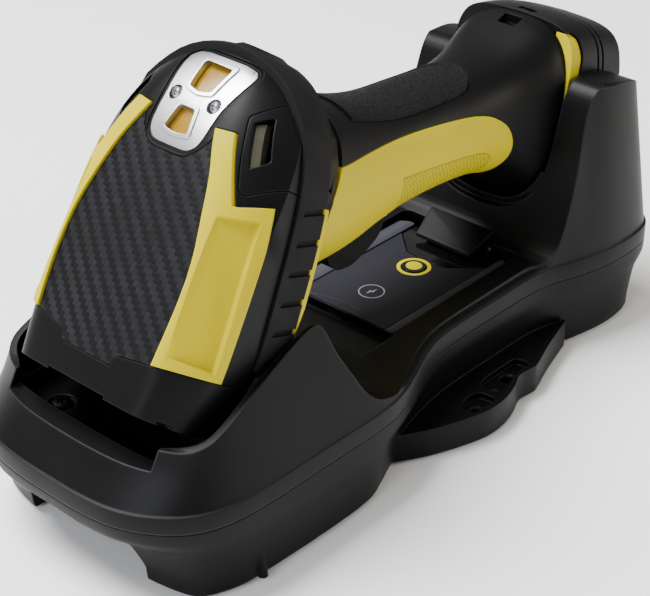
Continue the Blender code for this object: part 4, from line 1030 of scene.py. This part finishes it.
# ---- handle ----
handle = {
    # (x, centre height, half width, half height) from the head to the foot
    "row": [(-34, 92, 24, 27), (-20, 91, 23, 26.5), (-8, 89.5, 21, 25), (4, 88.4, 19.6, 22),
            (18, 87.4, 18.8, 19.4), (36, 86.4, 18.6, 18.6), (52, 85, 18.8, 18.8),
            (62, 84, 19.4, 20.2), (70, 83, 20.6, 22.8), (76, 81.6, 22.4, 26.8), (81, 80, 24, 30.8),
            (84, 79.4, 24.6, 32.6),
            (87, 79, 24.8, 33.4)],
    "wall": 3.0, "square": 0.86, "sides": 72, "rake": 0.22, "rakeFrom": 80,
    "split": [(-40, 106), (-24, 103.2), (9, 99.7), (40, 95.6), (54, 92.4), (61, 88.6), (65.4, 84),
              (67.4, 78),
              (66.6, 72.4), (62.6, 66), (60, 60)],
    "pad": [(-8, 13), (20, 12.8), (46, 12.4), (53, 10.6), (57, 6.6), (58.6, 2.4)],
}


def handleRing(x, shrink):
    row = [readOff([(h[0], h[k]) for h in handle["row"]], x) for k in (1, 2, 3)]
    centre, wide, high = row[0], row[1] - shrink, row[2] - shrink
    square = handle["square"] - 0.2 * ease((x - 56) / 30)
    rake = handle["rake"] * ease((x - 56) / 30)
    ring = []
    for k in range(handle["sides"]):
        turn = math.tau * (k + 0.5) / handle["sides"]
        c, s = math.cos(turn), math.sin(turn)
        z = centre + high * math.copysign(abs(s) ** square, s)
        ring.append((x + rake * max(z - handle["rakeFrom"], 0), wide * math.copysign(abs(c) ** square, c),
                     z))
    return ring


def handleForm(shrink, first=-34.0, last=87.0, step=3.0):
    count = max(int((last - first) / step), 2)
    return loft([handleRing(first + (last - first) * k / count, shrink) for k in range(count + 1)])


def headSpace(grow):
    return seated(headForm(-grow, head["stations"][0] - grow, head["nose"] + grow))


def buildHandle():
    g = gap / 2
    split = smoothRun(handle["split"], 4)
    zone = split + [(58, 40), (-60, 40), (-60, 106)]
    room = cut(handleForm(0), headSpace(gap))
    room = cut(room, handleForm(handle["wall"], -60, 90, 6.0))
    shell = cut(copyOf(room), prism(movedIn(zone, -g), -60, 60, sideView))
    grip = keep(room, prism(movedIn(zone, g), -60, 60, sideView))
    half = smoothRun(handle["pad"], 4)
    padPlan = wholeOf(half)
    pad = keep(cut(handleForm(-0.7, -12, 60), handleForm(1.0, -14, 62)),
               prism(movedIn(padPlan, g), 96, 140, planView))
    shell = cut(shell, keep(cut(handleForm(-2, -14, 62), handleForm(1.0 + gap, -16, 64)),
                            prism(movedIn(padPlan, -g), 95, 140, planView)))
    # a smooth border is left round the pebbled field of the pad
    field = keep(cut(handleForm(-2, -14, 62), handleForm(-0.45, -16, 64)),
                 prism(movedIn(padPlan, 2.0), 95, 140, planView))
    pad = cut(pad, field)
    finish(pad, "gripPad", pebbleTpe, "scanner", ["grip_pad"])
    # the tether slot in the foot
    shell = join(shell, block((85.8, 92.4), (-5.2, 5.2), (101, 108.6)))
    shell = cut(shell, block((86.6, 91.8), (-3.8, 3.8), (103, 130), 0.8))
    finish(shell, "handleShell", blackHead, "scanner", ["handle_shell"])
    grip = cut(grip, block((-16, 15), (-8.2, 8.2), (50, 80)))
    # the chevron field is a separate moulding let into the flank of the grip
    field = smoothRun([(8, 86.4), (30, 83.2), (49, 80.2), (56, 77.4), (58, 73.6), (55.6, 69.6), (47, 66.4),
                       (30, 60), (8, 60), (6, 74)], 4)
    fill = keep(cut(handleForm(0.06, 10, 68), handleForm(1.2, 8, 70)),
                prism(movedIn(field, g * 0.6), -60, 60, sideView))
    seat = keep(cut(handleForm(-2, 10, 68), handleForm(1.4, 8, 70)),
                prism(movedIn(field, -g * 0.6), -60, 60, sideView))
    grip = cut(grip, seat)
    finish(grip, "frontGrip", yellowPc, "scanner", ["front_grip"])
    for side, name in ((-1, "Left"), (1, "Right")):
        part = keep(copyOf(fill), block((0, 80), (0, 60) if side > 0 else (-60, 0), (40, 120)))
        finish(part, "gripField" + name, yellowChevron, "scanner")
    bpy.data.objects.remove(fill)
    lever = rounded([(-13.4, 67.6), (-13.4, 60.2), (-9, 55.8), (-2, 54.8), (5, 57), (11, 60), (14, 63.4),
                     (14, 72.4), (12.4, 74.2), (8, 74.2), (5.4, 70.4), (0, 67.4)], 2.2, 4)
    trigger = cut(prism(lever, -7.6, 7.6, sideView), rod((10.4, -20, 71), (10.4, 20, 71), 1.5))
    for k in range(4):
        x = -8.6 + 3.6 * k
        trigger = cut(trigger, rod((x, -4.6, 55.2 - 0.5 * (k == 0)), (x, 4.6, 55.2 - 0.5 * (k == 0)), 0.8,
                                   16))
    finish(trigger, "trigger", blackTpe, "trigger_lever", ["trigger"])


foot = {"cap": (87.5, 122.4, 25.4, 25.0, 112.6, 104.6, 47, 52), "wall": 2.4,
        "collar": (87.4, 99.0, 22.7, 22.7, 108.2, 107.8, 50, 50),
        # the window in the cap's front edge, on both sides, where the collar shows
        "window": [(80, 80), (91.4, 84), (95.6, 92), (98.4, 101), (98.8, 107.5), (96.4, 110), (80, 110)],
        "windowTops": (112, 99), "grooves": (107.4, 110.4), "grooveWidth": 1.1}


def slab(x0, x1, wide0, wide1, top0, top1, low0, low1, shrink=0.0, bow=0.0):
    rings = []
    for k in range(9):
        t = k / 8
        wide = wide0 + (wide1 - wide0) * t - shrink
        top = top0 + (top1 - top0) * t - shrink + bow * math.sin(math.pi * t)
        low = low0 + (low1 - low0) * t + shrink
        half = smoothRun([(0, low - 1), (wide * 0.45, low), (wide * 0.8, low + 9), (wide * 0.97, low + 22),
                          (wide, low + 34), (wide, top - 14), (wide * 0.95, top - 7),
                          (wide * 0.8, top - 2.4),
                          (wide * 0.5, top - 0.2), (0, top + 0.4)], 3)
        rake = handle["rake"] * (1 - t)
        side = [(x0 + (x1 - x0) * t + rake * max(z - handle["rakeFrom"], 0), y, z) for y, z in half]
        rings.append(side + [(x, -y, z) for x, y, z in reversed(side[1:-1])])
    return loft(rings)


def buildFoot():
    x0, x1, wide0, wide1, top0, top1, low0, low1 = foot["collar"]
    collar = cut(slab(*foot["collar"]), slab(x0 - 6, x1 + 6, wide0, wide1, top0, top1, low0, low1, 3.0))
    cap = slab(*foot["cap"], bow=1.2)
    inner = list(foot["cap"])
    inner[0], inner[1] = 80, inner[1] - foot["wall"]
    cap = cut(cap, slab(*inner, shrink=foot["wall"]))
    for x in foot["grooves"]:
        ring = cut(block((x, x + foot["grooveWidth"]), (-45, 45), (30, 135)),
                   slab(*foot["cap"], shrink=0.8, bow=1.2))
        cap = cut(cap, ring)
    # the second tether slot opens in front of the grooves
    cap = cut(cap, block((97.4, 101.0), (-3.8, 3.8), (104, 130), 0.7))
    flush = list(foot["cap"])
    flush[0] = foot["collar"][0]
    for side, top in zip((-1, 1), foot["windowTops"]):
        cap = cut(cap, keep(prism(foot["window"], side * 16, side * 40, sideView),
                            block((70, 120), (-45, 45), (60, top))))
        lug = keep(slab(*flush, shrink=0.5), prism(movedIn(foot["window"], gap), side * 16.4, side * 40,
                                                   sideView),
                   block((70, 120), (-45, 45), (60, top - gap)))
        collar = join(collar, cut(lug, slab(80, 130, 21, 21, 107, 107, 52, 52)))
    finish(collar, "capCollar", yellowPc, "scanner", ["cap_collar"])
    finish(cap, "batteryCap", blackHead, "scanner", ["battery_cap"])


print("handle and foot")
buildHandle()
buildFoot()


# ---- label, buttons and small cradle parts ----
fittings = {"plate": [(2, -19), (56, -19), (47, -9), (45.6, 0), (47, 9), (56, 19), (2, 19)],
            "strip": [(-1, 19.6), (64.6, 19.6), (61.6, 24.6), (1, 24.6)],
            "button": (40.2, 0), "bolt": (17.5, 0), "ink": 0.06, "flapPin": (65.8, 35.0)}


def ringOf(centre, outer, inner, low, high):
    x, y = centre
    return turned([(inner, low), (outer, low), (outer, high), (inner, high), (inner, low)], (x, y, 0),
                  steps=64)


def buildLabel():
    z = cradle["label"]
    x, y = fittings["button"]
    label = cut(prism(fittings["plate"], z - 1.1, z, planView), rod((x, y, 20), (x, y, 60), 4.7, 48))
    finish(label, "labelPlate", labelFilm, "cradle", ["label_plate"])
    finish(ringOf((x, y), 6.1, 4.75, z - 0.02, z + fittings["ink"]), "buttonRing", yellowInk, "cradle")
    bx, by = fittings["bolt"]
    finish(ringOf((bx, by), 4.6, 4.2, z - 0.02, z + fittings["ink"]), "chargeRing", greyInk, "cradle")
    bolt = [(-2.4, 0.5), (0.3, 0.9), (0.1, 0.1), (2.4, -0.5), (-0.3, -0.9), (-0.1, -0.1)]
    bolt = prism([(bx + a, by + b) for a, b in bolt], z - 0.02, z + fittings["ink"], planView)
    finish(bolt, "chargeBolt", greyInk, "cradle")
    line = smoothRun([(-0.2, -18), (3.2, -10), (4.4, 0), (3.2, 10), (-0.2, 18)], 6)
    arc = sweep([(a + 1.4, b, z) for a, b in line], [(-0.12, -0.02), (0.12, -0.02), (0.12, 0.05),
                                                     (-0.12, 0.05)])
    finish(arc, "labelArc", greyStrip, "cradle")
    panel = [(56.5, -18.7), (63.8, -18.7), (63.8, 18.7), (56.5, 18.7), (47.7, 9.1), (46.3, 0), (47.7, -9.1)]
    finish(prism(panel, z - 1.1, z - 0.25, planView), "statusPanel", glossBlack, "cradle", ["status_panel"])
    for side, name in ((-1, "Left"), (1, "Right")):
        strip = prism([(a, side * b) for a, b in rounded(fittings["strip"], 0.8, 3)], z - 1.1, z + 1.0,
                      planView)
        # the strip is highest along its outer edge and slopes down towards the label
        slope = prism([(19.4, z + 0.1), (21.4, z + 1.2), (19.4, z + 1.2)], -4, 68, lambda y, h,
                      x: (x, side * y, h))
        front = prism([(-1.2, z + 0.2), (2.2, z + 1.2), (-1.2, z + 1.2)], -30, 30, sideView)
        finish(cut(strip, slope, front), "labelStrip" + name, greyStrip, "cradle",
               ["label_strip_" + name.lower()])
    cap = turned([(0, -6.6), (5.4, -6.6), (5.4, -4.6), (4.35, -4.4), (4.35, 0.2), (4.1, 0.45), (0, 0.5)],
                 (x, y, z), steps=64)
    finish(cap, "linkButton", glossBlack, "link_button_body", ["link_button"])
    dot = turned([(0, 0.48), (2.9, 0.48), (2.9, 0.56), (2.6, 0.6), (0, 0.62)], (x, y, z), steps=48)
    finish(dot, "buttonDot", yellowInk, "link_button_body")


def buildFlap():
    px, pz = fittings["flapPin"]
    profile = rounded([(55.6, 36.2), (56.2, 34.6), (64.2, 38.2), (64.2, 33), (67.2, 33), (67.2, 42)], 0.5,
                      3)
    flap = cut(prism(profile, -14, 14, sideView), rod((px, -20, pz), (px, 20, pz), 1.3))
    # the free edge is narrower than the root
    for side in (-1, 1):
        flap = cut(flap, prism([(54, side * 11.6), (58, side * 12.4), (66.8, side * 14.2),
                                (66.8, side * 20), (54, side * 20)],
                               20, 60, planView))
    finish(flap, "retainingFlap", blackAbs, "retaining_tab_body", ["retaining_tab"])


def buildScrewsAndFeet():
    z = cradle["pocketFloor"]
    for side, name in ((-1, "Left"), (1, "Right")):
        y = side * 27
        screw = turned([(0, -11), (1.5, -11), (1.5, -0.8), (3.4, -0.8), (3.4, 0.2), (2.9, 0.85), (1.6, 1.1),
                        (0, 1.15)],
                       (-98, y, z), steps=36)
        for spread in ((1.8, 0.35), (0.35, 1.8)):
            screw = cut(screw, block((-98 - spread[0], -98 + spread[0]), (y - spread[1], y + spread[1]),
                                     (z + 0.1, z + 3)))
        finish(screw, "pocketScrew" + name, blackScrew, "cradle", ["pocket_screw_" + name.lower()])
    for k, (x, y) in enumerate(((-94, 40), (98, 36), (98, -36), (-94, -40))):
        foot = turned([(0, 0), (4.9, 0), (5.5, 0.25), (5.6, 0.8), (5.6, 1.3), (0, 1.3)], (x, y, 0),
                      steps=40)
        for r in (1.8, 3.6):
            foot = cut(foot, ringOf((x, y), r + 0.35, r - 0.35, -0.3, 0.3))
        finish(foot, f"rubberFoot{k + 1}", blackTpe, "cradle", [f"rubber_foot_{k + 1}"])
    # the latch tongue behind the slot at the front corner
    tongue = rounded([(25.9, 22.0), (29.3, 22.0), (29.3, 30.4), (25.9, 30.4)], 1.2, 3)
    tongue = prism(tongue, -119.4, -117.6, frontView)
    finish(tongue, "latchTongue", paintedShadeTrayAbs, "cradle")


blackScrew = satinMetal("blackOxidisedSteel", {
    "dark": "#161617", "light": "#2a2a2c", "rough": (0.3, 0.45), "line": 0.4, "stretch": (1.0, 1.0, 1.0),
    "edge": 0.2})

print("label, buttons and feet")
buildLabel()
buildFlap()
buildScrewsAndFeet()

# the CAD pieces that stay get their own finishes
kept = {"battery_contacts": screwSteel, "battery_pack": cellSleeve, "beeper": blackHead,
        "charging_coil": cradleCopper, "coil_ferrite": ferrite, "cradle_board": board,
        "head_chassis": blackHead, "illumination_board": board, "illumination_led_1": smokeLens,
        "illumination_led_2": smokeLens, "illumination_led_3": smokeLens,
        "illumination_led_4": smokeLens, "imager_lens": windowGlass, "imager_module": blackHead,
        "link_switch": blackHead, "main_board": board, "power_inlet": blackHead,
        "receiver_coil": capCopper, "retaining_pin": screwSteel, "scan_window": windowGlass,
        "sensor_board": board, "switch_plunger": screwSteel, "trigger_board": board,
        "trigger_pin": screwSteel, "trigger_switch": blackHead, "vibration_motor": screwSteel}
for node, look in kept.items():
    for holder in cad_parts[node].material_slots:
        holder.material = look

print("stage")
setStage()
